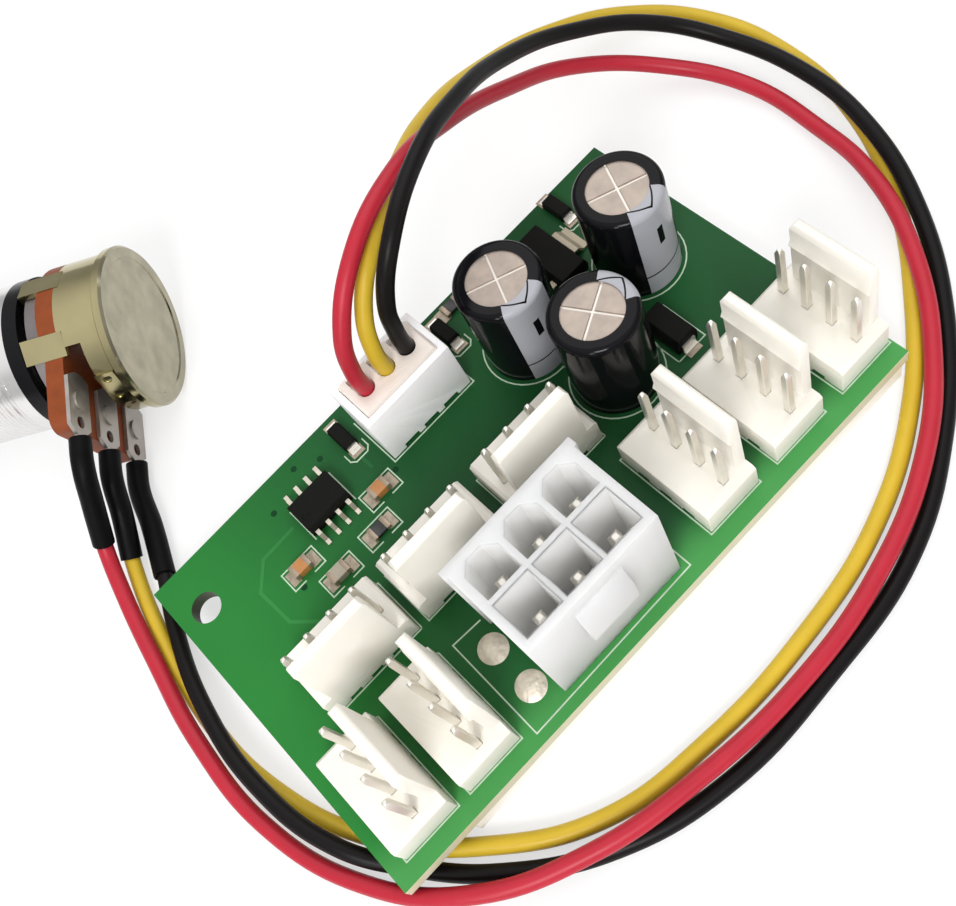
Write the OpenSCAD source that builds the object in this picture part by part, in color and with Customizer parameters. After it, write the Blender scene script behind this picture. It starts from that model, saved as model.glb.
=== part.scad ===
// Fan speed controller: a small circuit board on a foam pad, with eight four-pin fan headers, a power
// inlet, three capacitors and a speed potentiometer on a three-wire lead. Millimetres, Z up.
// The origin is the middle of the foam pad's underside, and Z zero is the surface it all lies on.

/* [Board] */
// Length of the circuit board
board_l = 60.2; // [58:0.1:64]
// Width of the circuit board
board_w = 36.8; // [35:0.1:39]
// Thickness of the circuit board
board_t = 1.6; // [1.2:0.1:2]
// Thickness of the foam pad under the board
pad_t = 3; // [2.5:0.1:4]
// Diameter of the screw hole
screw_hole_d = 3; // [2.6:0.1:3.6]

/* [Fan headers] */
// Distance between neighbouring pins
pin_spacing = 2.54; // [2.4:0.02:2.6]
// Side of a square header pin
pin_w = 0.64; // [0.5:0.02:0.7]
// Height of the pin tips above the board
fan_pin_h = 9.5; // [8:0.1:11]
// Height of the header's base
fan_base_h = 3.2; // [2.6:0.1:3.8]
// Depth of the header's base, square to its pin row
fan_base_w = 5.8; // [5.6:0.1:6.2]
// Height of the friction wall above the board
fan_wall_h = 11.2; // [9:0.1:13]
// Thickness of the friction wall
fan_wall_t = 1.1; // [0.8:0.1:1.2]
// Length of the pin tails below the board
tail_l = 1.4; // [1:0.1:1.8]

/* [Power header] */
// Distance between neighbouring cells
cell_spacing = 4.2; // [4:0.05:4.3]
// Height of the housing above the board
power_h = 12.8; // [10:0.1:14]
// Thickness of the walls between the cells
cell_wall_t = 0.6; // [0.5:0.05:1]
// Thickness of the housing's floor
power_floor_t = 3; // [2:0.1:4]
// Side of a square power pin
power_pin_w = 1.07; // [0.9:0.01:1.2]
// Height of the power pins above the board
power_pin_h = 9; // [7:0.1:9.5]

/* [Potentiometer header and plug] */
// Length of the header
lead_header_l = 10; // [9.6:0.1:10.4]
// Width of the header
lead_header_w = 5.75; // [5.5:0.05:6]
// Height of the header's rim above the board
lead_header_h = 7; // [6:0.1:8]
// Height of the plug's top above the board
plug_h = 7.4; // [7:0.1:8.4]

/* [Capacitors] */
// Diameter over the shrink sleeve
cap_d = 8; // [7:0.1:8.6]
// Height of a capacitor
cap_h = 11.5; // [9:0.1:14]
// Distance between the two leads
cap_lead_spacing = 3.5; // [2.5:0.1:4]

/* [Surface-mounted parts] */
// Length of the controller chip's body
controller_l = 4.9; // [4.7:0.1:5.2]
// Width of the controller chip's body
controller_w = 3.9; // [3.6:0.1:4.1]
// Length of a chip capacitor or resistor
chip_l = 2; // [1.8:0.05:2.1]
// Width of a chip capacitor or resistor
chip_w = 1.25; // [1:0.05:1.35]
// Length of the regulator's body
regulator_l = 6.6; // [6.2:0.1:6.8]
// Width of the regulator's body
regulator_w = 3.5; // [3.3:0.1:3.6]

/* [Potentiometer] */
// Diameter of the can's rim, on which it lies
pot_d = 16.5; // [16:0.1:18]
// Depth of the can from its back to its open edge
can_depth = 5.3; // [5.1:0.1:7]
// Thickness of the laminate wafer
wafer_t = 1.9; // [1.4:0.1:2.2]
// Reach of the terminals beyond the can's rim
terminal_proud = 5.55; // [5.2:0.05:5.7]
// Diameter of the threaded bushing
bushing_d = 7; // [6.8:0.1:8]
// Length of the threaded bushing
bushing_l = 6.5; // [5.5:0.1:8]
// Diameter of the shaft
shaft_d = 6; // [5:0.1:6.1]

/* [Knob] */
// Diameter of the knob's rim
knob_d = 15.2; // [14.8:0.1:17]
// Length of the knob
knob_l = 17; // [16.5:0.1:22]
// Width of the core's rim that shows behind the shell
knob_rim_l = 1.6; // [1:0.1:3]

/* [Lead] */
// Diameter of a wire over its insulation
wire_d = 1.6; // [1.3:0.05:1.65]
// Diameter of the shrink sleeves at the terminals
shrink_d = 2.2; // [2.1:0.05:2.3]

/* [Hidden] */
$fn = 48;

// How far every cut runs past the face that it opens
overrun = 0.5;
// Clearance round a piece that is pressed or moulded in
press_gap = 0.02;
// Radial clearance of the shaft in its bushing
running_gap = 0.05;
// Gap between pieces of the turning body and the fixed ones
turn_gap = 0.3;

// Heights of the board
board_bottom = pad_t;
board_top = pad_t + board_t;

// Places of the screw hole's centre, from the board's end and from its far side
hole_from_end = 2.9;
hole_from_side = 5.1;
// Room round the tails and their solder, in the pad and in the board's holes
pin_hole_clearance = 0.06;
pocket_margin = 0.3;
// How far the pad stays inside the board's edge, and its cut corners beside the wires
pad_inset = 0.3;
pad_cut_x = 7;
pad_cut_y = 9.5;
pad_nick = 9;
pad_screw_margin = 0.5;
// Solder fillets under the board
solder_r = 0.85;
power_solder_r = 1.2;
// Solder-filled wire pads beside the power header: radius, height of the dome and places on the board
wire_pad_r_share = 0.0233;
wire_pad_gap = 0.2;
wire_pad_dome = 0.35;
wire_pad_y_shares = [0.236, 0.111];

// Fan headers: middle of the pin row as shares of the board, and how the header is turned, then the
// spacing along the inner row and the gap between its headers as shares of the board's length
fan_place_shares = [
    [0.953, 0.186, 0], [0.817, 0.186, 0], [0.683, 0.186, 0], [0.206, 0.186, 0], [0.085, 0.186, 0],
    [0.553, 0.47, -90], [0.359, 0.47, -90], [0.171, 0.47, -90]
];
fan_pins = 4;
fan_row_share = 0.188;
fan_gap_share = 0.019;
fan_base_l = (fan_row_share - fan_gap_share) * board_l;
fan_wall_margin = 0.15;
fan_row_l = (fan_pins - 1) * pin_spacing;
fan_wall_w = fan_row_l + 2 * fan_wall_margin;
fan_pin_to_wall = 1.4;
fan_wall_side = fan_pin_to_wall + fan_wall_t;
fan_wall_corner = 0.6;
fan_wall_round = 0.35;
fan_wall_lead_in = 0.25;
fan_rib_h = 0.5;
fan_rib_drop = 2.2;
fan_rib_proud = 0.25;
fan_slot_w = 1.3;
fan_slot_h = 0.45;
fan_edge = 0.3;
pin_tip_l = 0.5;
pin_tip_share = 0.5;

// Power header: middle of the housing as shares of the board
power_place_shares = [0.4485, 0.174];
power_cols = 3;
power_rows = 2;
power_border = 0.6;
power_l = power_cols * cell_spacing + 2 * power_border;
power_w = power_rows * cell_spacing + 2 * power_border;
cell_w = cell_spacing - cell_wall_t;
cell_corner = 1;
cell_lead_in = 0.2;
ear_w = 0.9;
ear_proud = 0.3;
latch_w = 5;
latch_h = 5.5;
latch_proud = 0.8;
latch_drop = 1.6;

// Potentiometer header and plug: middle as shares of the board
lead_place_shares = [0.4917, 0.8465];
lead_x = lead_place_shares[0] * board_l;
lead_y = lead_place_shares[1] * board_w;
lead_pins = 3;
lead_wall_t = 0.7;
lead_floor_t = 1.3;
lead_pin_h = 5;
lead_slot_w = 1.75;
lead_slot_h = 0.55;
plug_gap = 0.04;
plug_l = lead_header_l - 2 * lead_wall_t - 2 * plug_gap;
plug_w = lead_header_w - 2 * lead_wall_t - 2 * plug_gap;
plug_bottom = lead_floor_t + plug_gap;
plug_entry_h = 1.2;
plug_edge = 0.2;
contact_w = 1.5;
contact_cell_w = 1.7;
contact_top = plug_h - plug_entry_h;
contact_bottom = plug_bottom + plug_entry_h / 2;
wire_entry_r = wire_d / 2 + press_gap * 5;

// Capacitors: place of the middle one as shares of the board, offsets of all three from it as shares of
// their diameter, and the turn of their leads
cap_middle_shares = [0.7243, 0.4891];
cap_offset_shares = [[-0.3375, 1.1], [0, 0], [1.225, 0.8125]];
cap_turn_angles = [66, 28, 66];
cap_places = [for (s = cap_offset_shares)
    [cap_middle_shares[0] * board_l + s[0] * cap_d, cap_middle_shares[1] * board_w + s[1] * cap_d]];
cap_sleeve_t = 0.15;
cap_stand = 0.2;
cap_can_r = cap_d / 2 - cap_sleeve_t - press_gap;
cap_can_h = cap_h - cap_stand - cap_sleeve_t - press_gap;
cap_shoulder = 0.45;
cap_window_r = 2.75;
cap_crimp_z = 2;
cap_crimp_h = 1;
cap_crimp_in = 0.4;
cap_seal_t = 1.3;
cap_seal_r = 3.1;
cap_lip_r = 3.3;
cap_lead_r = 0.3;
cap_score_w = 0.3;
cap_score_depth = 0.12;

// Controller chip: place, and its leads
controller_shares = [0.281, 0.826];
controller_pins = 4;
controller_lead_spacing = 1.27;
controller_h = 1.55;
controller_stand = 0.12;
controller_bevel = 0.35;
controller_lead_w = 0.42;
controller_lead_t = 0.22;
controller_lead_reach = 1.55;
controller_foot_l = 0.75;
controller_lead_z = 0.85;
controller_dimple_r = 0.35;
controller_dimple_in = 0.75;
controller_dimple_depth = 0.08;

// Chip capacitors and resistors: places as shares of the board
chip_capacitor_shares = [[0.359, 0.736], [0.194, 0.739], [0.229, 0.652]];
chip_resistor_share = [0.316, 0.66];
chip_resistor_from_diode = 2.4;
chip_resistor_y_share = 0.965;
capacitor_chip_h = 0.9;
resistor_chip_h = 0.5;
chip_end_l = 0.4;
chip_end_t = 0.03;

// Regulator, rectifier and small diodes: each placed beside the capacitor, header or part next to it
regulator_from_cap = 4.2;
regulator_h = 1.65;
regulator_stand = 0.05;
regulator_bevel = 0.3;
regulator_lead_spacing = 2.3;
regulator_lead_w = 0.7;
regulator_tab_w = 3.1;
regulator_lead_t = 0.28;
regulator_reach = 1.7;
regulator_foot_l = 0.9;
regulator_place = [
    cap_places[0][0] + cap_d / 2 + regulator_reach + regulator_w / 2, cap_places[0][1] + regulator_from_cap];
rectifier_gap = 0.6;
rectifier_l = 4.3;
rectifier_w = 2.6;
rectifier_h = 2.1;
rectifier_lead_w = 1.5;
rectifier_place = [
    cap_places[1][0] + cap_d / 2 + rectifier_gap + rectifier_w / 2, cap_places[1][1] - rectifier_l / 4];
signal_diode_l = 2.7;
signal_diode_w = 1.5;
signal_diode_h = 1.1;
diode_stand = 0.08;
diode_bevel = 0.15;
diode_lead_t = 0.2;
diode_lead_reach = 0.45;
signal_lead_w = 1.1;
signal_lead_reach = 0.75;
diode_from_header = 1.9;
diode_from_middle = 2.65;
diode_from_tab = 1;
diode_from_regulator = 3.6;
signal_diode_places = [
    [lead_x - lead_header_l / 2 - diode_from_header, lead_y + diode_from_middle],
    [lead_x + lead_header_l / 2 + diode_from_header, lead_y + diode_from_middle],
    [regulator_place[0] + regulator_w / 2 + regulator_reach + diode_from_tab,
        regulator_place[1] + diode_from_regulator]
];
chip_resistor_places = [
    [chip_resistor_share[0] * board_l, chip_resistor_share[1] * board_w],
    [signal_diode_places[1][0] + chip_resistor_from_diode, chip_resistor_y_share * board_w]
];

// Potentiometer: middle of its back disc on the floor, the way its shaft points, and its roll
pot_x = -12.8;
pot_y = 39.4;
pot_turn_angle = 144;
pot_roll_angle = -8;
can_t = 0.5;
can_rim_l = 1.2;
can_rim_step = 0.35;
can_r = pot_d / 2 - can_rim_step;
can_inner_r = can_r - can_t;
can_dish_r = 6.9;
can_dish = 0.12;
terminal_spacing_share = 0.303;
terminal_w_share = 0.206;
terminal_spacing = terminal_spacing_share * pot_d;
terminal_w = terminal_w_share * pot_d;
terminal_reach = pot_d / 2 + terminal_proud;
tongue_w = 2 * terminal_spacing + terminal_w;
tongue_proud = 3.25;
tongue_reach = pot_d / 2 + tongue_proud;
tongue_corner = 1.5;
tongue_gap = 0.3;
can_opening_share = 0.6;
can_opening = can_opening_share * can_depth;
tab_w = 2.4;
tab_angles = [25, 155, 207, 333];
stop_angle = 113;
stop_w = 4.2;
stop_inset = 0.3;
stop_proud = 0.05;
stop_dimple_r = 0.5;
stop_dimple_depth = 0.2;
stop_dimple_places = [-0.8, 1.4];
stack_r = can_inner_r - 2 * press_gap;
plate_t = 1.5;
terminal_t = 0.4;
terminal_tip_w = 1.2;
terminal_tip_l = 1.8;
terminal_taper_l = 0.8;
terminal_hole_r = 0.6;
terminal_hole_proud = 2.45;
terminal_hole_y = pot_d / 2 + terminal_hole_proud;
rivet_r = 0.7;
rivet_head_r = 1;
rivet_head_t = 0.25;
rivet_proud = 0.25;
rivet_y = pot_d / 2 + rivet_proud;
terminal_back = can_depth - terminal_t;
wafer_back = can_depth;
plate_back = wafer_back + wafer_t;
plate_front = plate_back + plate_t;
wafer_bore_r = shaft_d / 2 + turn_gap;
bushing_end = plate_front + bushing_l;
washer_t = 0.5;
washer_collar = 1.9;
washer_r = bushing_d / 2 + washer_collar;
washer_to_tab = 0.5;
tab_fold = can_r - washer_r - washer_to_tab;
washer_teeth = 12;
nut_t = 2;
nut_across = 10;
nut_chamfer = 0.4;
rotor_r = 6;
rotor_t = 2.1;
rotor_back = can_t + 2 * turn_gap;
rotor_lug_w = 1.6;
rotor_lug_l = 0.9;
rotor_front = rotor_back + rotor_t;
wiper_t = 0.2;
wiper_r = 5.5;
wiper_ring_r = 4;
wiper_arm_w = 0.9;
wiper_touch_gap = 0.05;
shaft_back = can_t + turn_gap / 2;
shaft_slot_w = 1;
shaft_slot_share = 0.38;
shaft_chamfer = 0.4;
clip_t = 0.5;
clip_r = 4.1;
clip_groove_r = 2.4;
clip_back = bushing_end + turn_gap / 3;
knob_back = plate_front + can_t + turn_gap;
knob_end = knob_back + knob_l;
knob_front_t = 2;
shaft_end = knob_end - knob_front_t;
shaft_slot_l = shaft_slot_share * (shaft_end - plate_front);
knob_rim_front = knob_back + knob_rim_l;
shell_step = 0.1;
shell_t = 0.5;
shell_face_t = 0.9;
shell_edge = 0.6;
shell_r = knob_d / 2 - shell_step;
core_r = shell_r - shell_t - press_gap;
recess_r = knob_d / 2 - 1.3;
recess_end = clip_back + clip_t + turn_gap;
grip_spacing = 0.8;
grip_depth = 0.12;
grip_margin = 1.4;
index_w = 0.8;
index_depth = 0.25;

// Lead: routes of the three wires, each from inside the plug to its terminal, and of their sleeves
wire_sides = 8;
shrink_bore_d = wire_d + 0.2;
red_end = [[-30.6, 26.9, 4.4], [-28.2, 28.4, 8], [-25.9, 30, 11.1]];
yellow_end = [[-30.1, 25.4, 1.5], [-27.6, 28.4, 3.7], [-25.6, 30.5, 6.1]];
black_end = [[-28.8, 21.4, 1.2], [-26.6, 26.6, 1.3], [-25.1, 31, 1.3]];
red_route = concat([
    [-3, 12.75, 10.9], [-3, 12.8, 15], [-1.6, 13.5, 18.8], [3.5, 15.6, 22.6], [11, 18.8, 22.5],
    [19, 22.8, 17.6], [27, 25.3, 12], [35.5, 25.5, 6.4], [42, 21, 2.7], [45.8, 13, 1], [45.6, 4, 0.9],
    [43.4, -4, 2.3], [39, -12, 2.6], [32.6, -19, 2.2], [24, -24.8, 2.2], [14, -28.2, 2.1], [3, -29.4, 2.1],
    [-8, -28.6, 2.4], [-17.5, -26.5, 2.6], [-26.4, -22, 2.4], [-33, -14.2, 0.9], [-36.3, -4, 0.9],
    [-36, 5.5, 2.1], [-34.4, 15, 2.1], [-32.8, 22, 2.4]
], red_end);
yellow_route = concat([
    [-0.5, 12.75, 10.9], [-0.4, 12.9, 15], [1, 14, 18], [5, 16, 20.9], [11.5, 20.7, 19.9],
    [19, 26.4, 15.8], [28, 31, 10], [37.5, 32, 5.3], [45.5, 29, 2.1], [50.2, 21.5, 0.9], [51.2, 12, 0.8],
    [49, 3, 0.8], [43.6, -6.4, 0.8], [36, -14.4, 0.8], [27.5, -20.8, 0.8], [17.5, -25.2, 0.8],
    [6.5, -27, 0.8], [-5, -27, 0.8], [-15, -25.1, 0.8], [-23.2, -19.8, 0.8], [-30, -12, 0.8],
    [-33.8, -2, 0.8], [-34.4, 7, 0.8], [-32.8, 17, 0.9]
], yellow_end);
black_route = concat([
    [2, 12.75, 10.9], [2.1, 12.7, 15], [2.8, 12.5, 19], [6, 13, 23.8], [12.5, 16.8, 24.5],
    [20, 21.2, 20.8], [28, 25, 15.6], [36.5, 26, 10.1], [43.5, 23.4, 6], [47.8, 17.5, 3.2], [49, 8.5, 2.7],
    [47.2, -0.4, 3], [43.3, -9, 1.9], [36, -17.8, 0.8], [27, -24.5, 0.8], [17, -29, 0.8], [5.5, -30.7, 0.8],
    [-6, -30.3, 0.8], [-16, -27.4, 0.8], [-24, -22, 0.8], [-29.3, -16, 1], [-32.5, -10.6, 2.4],
    [-34.2, -2, 2.8], [-33.6, 7, 2.6], [-31.1, 16.6, 1.3]
], black_end);
red_sleeve_route = concat(red_end, [[-24.5, 32, 11.5]]);
yellow_sleeve_route = concat(yellow_end, [[-24.1, 32.6, 6.5]]);
black_sleeve_route = concat(black_end, [[-23.6, 33.2, 1.6]]);

// Point on the board's top, from a place measured from its near corner
function at_place(place) = [place[0] - board_l / 2, place[1] - board_w / 2, board_top];

// Point on the board's top for a pair of shares
function on_board(share) = at_place([share[0] * board_l, share[1] * board_w]);

// Places of a row of pins, centred on zero
function row(count, spacing) = [for (i = [0 : count - 1]) (i - (count - 1) / 2) * spacing];

function unit(v) = v / norm(v);

// Direction of a route at one of its points
function tangent(route, i) =
    unit(route[min(i + 1, len(route) - 1)] - route[max(i - 1, 0)]);

// Side directions along a route, each carried on from the one before so that the tube never twists
function sides(route, first) = [
    for (i = 0, side = first; i < len(route);
        i = i + 1, side = i < len(route) ? unit(side - (side * tangent(route, i)) * tangent(route, i)) : side)
    side
];

// Points of all the rings of a round tube along a route
function rings(route, r) =
    let (start = unit(cross(tangent(route, 0), [1, 2, 0])), side = sides(route, start))
    [for (i = [0 : len(route) - 1], j = [0 : wire_sides - 1])
        let (across = cross(tangent(route, i), side[i]), a = 360 * j / wire_sides)
        route[i] + r * (cos(a) * side[i] + sin(a) * across)];

// Wall of a tube between its rings, from point number base on, inside out where the wall is a bore
function wall(count, base, bore) = [
    for (i = [0 : count - 2], j = [0 : wire_sides - 1], half = [0, 1])
    let (k = (j + 1) % wire_sides, low = base + i * wire_sides, high = low + wire_sides,
        face = half == 0 ? [low + j, high + j, high + k] : [low + j, high + k, low + k])
    bore ? [face[2], face[1], face[0]] : face
];

// Solid round wire along a route
module wire(route) {
    count = len(route);
    last = (count - 1) * wire_sides;
    polyhedron(
        points = rings(route, wire_d / 2),
        faces = concat(
            wall(count, 0, false),
            [[for (j = [0 : wire_sides - 1]) j]],
            [[for (j = [wire_sides - 1 : -1 : 0]) last + j]]
        )
    );
}

// Shrink sleeve along a route, open at both ends
module shrink_sleeve(route) {
    count = len(route);
    bore = count * wire_sides;
    last = (count - 1) * wire_sides;
    polyhedron(
        points = concat(rings(route, shrink_d / 2), rings(route, shrink_bore_d / 2)),
        faces = concat(
            wall(count, 0, false),
            wall(count, bore, true),
            [for (j = [0 : wire_sides - 1]) let (k = (j + 1) % wire_sides) [j, k, bore + k, bore + j]],
            [for (j = [0 : wire_sides - 1]) let (k = (j + 1) % wire_sides)
                [last + k, last + j, bore + last + j, bore + last + k]]
        )
    );
}

// Square pin along Z with a bevelled tip, its foot at zero
module square_pin(w, l) {
    outline = [
        [-w / 2, 0], [w / 2, 0], [w / 2, l - pin_tip_l], [w / 2 * pin_tip_share, l],
        [-w / 2 * pin_tip_share, l], [-w / 2, l - pin_tip_l]
    ];
    intersection() {
        rotate([90, 0, 0]) linear_extrude(w, center = true) polygon(outline);
        rotate([90, 0, 90]) linear_extrude(w, center = true) polygon(outline);
    }
}

// Square hole along Z for a pin of side w
module pin_hole(w, l) {
    side = w + 2 * press_gap;
    translate([-side / 2, -side / 2, -overrun]) cube([side, side, l + 2 * overrun]);
}

// Solder fillet under the board, round a square pin of side w, its wide end up at zero
module pin_solder(w, r) {
    difference() {
        translate([0, 0, -tail_l]) cylinder(h = tail_l, r1 = w / 2 + 2 * press_gap + w / 4, r2 = r);
        translate([0, 0, -tail_l]) pin_hole(w, tail_l);
    }
}

// Puts its children at each pin of each fan header, at the board's top
module at_fan_pins() {
    for (place = fan_place_shares) translate(on_board(place)) rotate(place[2])
        for (y = row(fan_pins, pin_spacing)) translate([0, y, 0]) children();
}

// Puts its children at each power pin, at the board's top
module at_power_pins() {
    translate(on_board(power_place_shares))
        for (x = row(power_cols, cell_spacing), y = row(power_rows, cell_spacing))
            translate([x, y, 0]) children();
}

// Puts its children at each pin of the potentiometer header, at the board's top
module at_lead_pins() {
    translate(on_board(lead_place_shares))
        for (x = row(lead_pins, pin_spacing)) translate([x, 0, 0]) children();
}

// Puts its children at each capacitor lead, at the board's top
module at_cap_leads() {
    for (i = [0 : len(cap_places) - 1]) translate(at_place(cap_places[i])) rotate(cap_turn_angles[i])
        for (x = row(2, cap_lead_spacing)) translate([x, 0, 0]) children();
}

module circuit_board() {
    depth = board_t + 2 * overrun;
    color("forestgreen") difference() {
        translate([-board_l / 2, -board_w / 2, board_bottom]) cube([board_l, board_w, board_t]);
        translate([-board_l / 2 + hole_from_end, board_w / 2 - hole_from_side, board_bottom - overrun])
            cylinder(h = depth, d = screw_hole_d);
        translate([0, 0, -board_t - overrun]) {
            at_fan_pins() cylinder(h = depth, r = pin_w * sqrt(2) / 2 + pin_hole_clearance);
            at_lead_pins() cylinder(h = depth, r = pin_w * sqrt(2) / 2 + pin_hole_clearance);
            at_power_pins() cylinder(h = depth, r = power_pin_w * sqrt(2) / 2 + pin_hole_clearance);
            at_cap_leads() cylinder(h = depth, r = cap_lead_r + pin_hole_clearance);
        }
    }
}

// Foam pad: cut short at the two corners where the wires pass under the board
module foam_pad() {
    x = board_l / 2 - pad_inset;
    y = board_w / 2 - pad_inset;
    pocket_h = tail_l + pocket_margin;
    fan_r = solder_r + pocket_margin;
    power_r = power_solder_r + pocket_margin;
    color("ivory") difference() {
        linear_extrude(pad_t) polygon([
            [-x + pad_cut_x, -y], [x, -y], [x, y], [-x + pad_nick, y], [-x, y - pad_nick],
            [-x, -y + pad_cut_y]
        ]);
        for (place = fan_place_shares) translate(on_board(place)) rotate(place[2])
            translate([-fan_r, -fan_row_l / 2 - fan_r, -board_t - pocket_h])
                cube([2 * fan_r, fan_row_l + 2 * fan_r, pocket_h + overrun]);
        translate(on_board(power_place_shares))
            translate([-cell_spacing - power_r, -cell_spacing / 2 - power_r, -board_t - pocket_h])
                cube([2 * cell_spacing + 2 * power_r, cell_spacing + 2 * power_r, pocket_h + overrun]);
        translate(on_board(lead_place_shares))
            translate([-pin_spacing - fan_r, -fan_r, -board_t - pocket_h])
                cube([2 * pin_spacing + 2 * fan_r, 2 * fan_r, pocket_h + overrun]);
        for (place = cap_places) translate(at_place(place))
            translate([0, 0, -board_t - pocket_h])
                cylinder(h = pocket_h + overrun, r = cap_lead_spacing / 2 + fan_r);
        translate([-board_l / 2 + hole_from_end, board_w / 2 - hole_from_side, -overrun])
            cylinder(h = pad_t + 2 * overrun, r = screw_hole_d / 2 + pad_screw_margin);
    }
}

// Solder of every through-hole pin, and the two filled wire pads beside the power header
module solder_joints() {
    wire_pad_r = wire_pad_r_share * board_l;
    dome_r = (wire_pad_r * wire_pad_r + wire_pad_dome * wire_pad_dome) / (2 * wire_pad_dome);
    wire_pad_x = power_place_shares[0] * board_l - power_l / 2 - wire_pad_gap - wire_pad_r;
    color("silver") {
        translate([0, 0, -board_t]) {
            at_fan_pins() pin_solder(pin_w, solder_r);
            at_lead_pins() pin_solder(pin_w, solder_r);
            at_power_pins() pin_solder(power_pin_w, power_solder_r);
            at_cap_leads() pin_solder(2 * cap_lead_r, solder_r);
        }
        for (share = wire_pad_y_shares) translate(at_place([wire_pad_x, share * board_w])) intersection() {
            translate([0, 0, wire_pad_dome - dome_r]) sphere(r = dome_r);
            cylinder(h = 2 * wire_pad_dome, r = wire_pad_r);
        }
    }
}

// Fan header housing about its pin row, which runs along Y, with the friction wall on the +X side
module fan_housing() {
    open_side = fan_wall_side - fan_base_w;
    wall_outline = [
        [-fan_wall_w / 2, 0], [fan_wall_w / 2, 0], [fan_wall_w / 2, fan_wall_h - fan_wall_corner],
        [fan_wall_w / 2 - fan_wall_corner / 2, fan_wall_h],
        [-fan_wall_w / 2 + fan_wall_corner / 2, fan_wall_h],
        [-fan_wall_w / 2, fan_wall_h - fan_wall_corner]
    ];
    base_outline = [
        [-fan_base_l / 2, 0], [fan_base_l / 2, 0], [fan_base_l / 2, fan_base_h - fan_edge],
        [fan_base_l / 2 - fan_edge, fan_base_h], [-fan_base_l / 2 + fan_edge, fan_base_h],
        [-fan_base_l / 2, fan_base_h - fan_edge]
    ];
    wall_section = [
        [fan_pin_to_wall, 0], [fan_wall_side, 0], [fan_wall_side, fan_wall_h - fan_wall_round],
        [fan_wall_side - fan_wall_round / 3, fan_wall_h - fan_wall_round / 3],
        [fan_wall_side - fan_wall_round, fan_wall_h], [fan_pin_to_wall + fan_wall_lead_in, fan_wall_h],
        [fan_pin_to_wall, fan_wall_h - fan_wall_lead_in * 2],
        [fan_pin_to_wall, fan_wall_h - fan_rib_drop],
        [fan_pin_to_wall - fan_rib_proud, fan_wall_h - fan_rib_drop - fan_rib_h],
        [fan_pin_to_wall, fan_wall_h - fan_rib_drop - 2 * fan_rib_h]
    ];
    difference() {
        union() {
            translate([open_side, 0, 0]) rotate([90, 0, 90]) linear_extrude(fan_base_w) polygon(base_outline);
            intersection() {
                translate([0, fan_wall_w / 2, 0]) rotate([90, 0, 0]) linear_extrude(fan_wall_w)
                    polygon(wall_section);
                rotate([90, 0, 90]) linear_extrude(fan_wall_side) polygon(wall_outline);
            }
        }
        for (y = row(fan_pins - 1, pin_spacing))
            translate([open_side - overrun, y - fan_slot_w / 2, -overrun])
                cube([fan_base_w + 2 * overrun, fan_slot_w, fan_slot_h + overrun]);
        for (y = row(fan_pins, pin_spacing)) translate([0, y, 0]) pin_hole(pin_w, fan_base_h);
    }
}

module fan_header_housing(number) {
    place = fan_place_shares[number - 1];
    color("ivory") translate(on_board(place)) rotate(place[2]) fan_housing();
}

module fan_header_pins(number) {
    place = fan_place_shares[number - 1];
    tail = board_t + tail_l;
    color("gainsboro") translate(on_board(place)) rotate(place[2])
        for (y = row(fan_pins, pin_spacing)) translate([0, y, -tail]) square_pin(pin_w, tail + fan_pin_h);
}

// One cell of the power header, open at the top; the far row has cut corners, which key the plug
module power_cell(keyed) {
    cut = keyed ? cell_corner : 0;
    h = cell_w / 2;
    mouth = h + cell_lead_in / 2;
    depth = power_h - power_floor_t;
    translate([0, 0, power_floor_t]) linear_extrude(depth + overrun)
        polygon([[-h, -h], [h, -h], [h, h - cut], [h - cut, h], [-h + cut, h], [-h, h - cut]]);
    if (!keyed) translate([-mouth, -mouth, power_h - cell_lead_in / 2])
        cube([2 * mouth, 2 * mouth, cell_lead_in + overrun]);
}

module power_header_housing() {
    latch_top = power_h - latch_drop;
    color("whitesmoke") translate(on_board(power_place_shares)) difference() {
        union() {
            translate([-power_l / 2, -power_w / 2, 0]) cube([power_l, power_w, power_h]);
            translate([-power_l / 2 - ear_proud, power_w / 2 - ear_w, 0])
                cube([power_l + 2 * ear_proud, ear_w, power_h]);
            translate([-latch_w / 2, -power_w / 2, 0]) rotate([90, 0, 90]) linear_extrude(latch_w) polygon([
                [0, latch_top - latch_h], [0, latch_top], [-latch_proud / 4, latch_top],
                [-latch_proud, latch_top - latch_h / 2], [-latch_proud, latch_top - latch_h]
            ]);
        }
        for (x = row(power_cols, cell_spacing), y = row(power_rows, cell_spacing)) translate([x, y, 0]) {
            power_cell(y > 0);
            pin_hole(power_pin_w, power_floor_t);
        }
    }
}

module power_header_pins() {
    tail = board_t + tail_l;
    color("wheat") at_power_pins() translate([0, 0, -tail]) square_pin(power_pin_w, tail + power_pin_h);
}

// Open shroud of the potentiometer header, with three slots at the foot of its near wall
module pot_header_housing() {
    color("white") translate(on_board(lead_place_shares)) difference() {
        translate([-lead_header_l / 2, -lead_header_w / 2, 0])
            cube([lead_header_l, lead_header_w, lead_header_h]);
        translate([-plug_l / 2 - plug_gap, -plug_w / 2 - plug_gap, lead_floor_t])
            cube([plug_l + 2 * plug_gap, plug_w + 2 * plug_gap, lead_header_h]);
        for (x = row(lead_pins, pin_spacing)) translate([x, 0, 0]) {
            pin_hole(pin_w, lead_floor_t);
            translate([-lead_slot_w / 2, -lead_header_w / 2 - overrun, -overrun])
                cube([lead_slot_w, lead_wall_t + overrun, lead_slot_h + overrun]);
        }
    }
}

module pot_header_pins() {
    tail = board_t + tail_l;
    color("silver") at_lead_pins() translate([0, 0, -tail]) square_pin(pin_w, tail + lead_pin_h);
}

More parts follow.
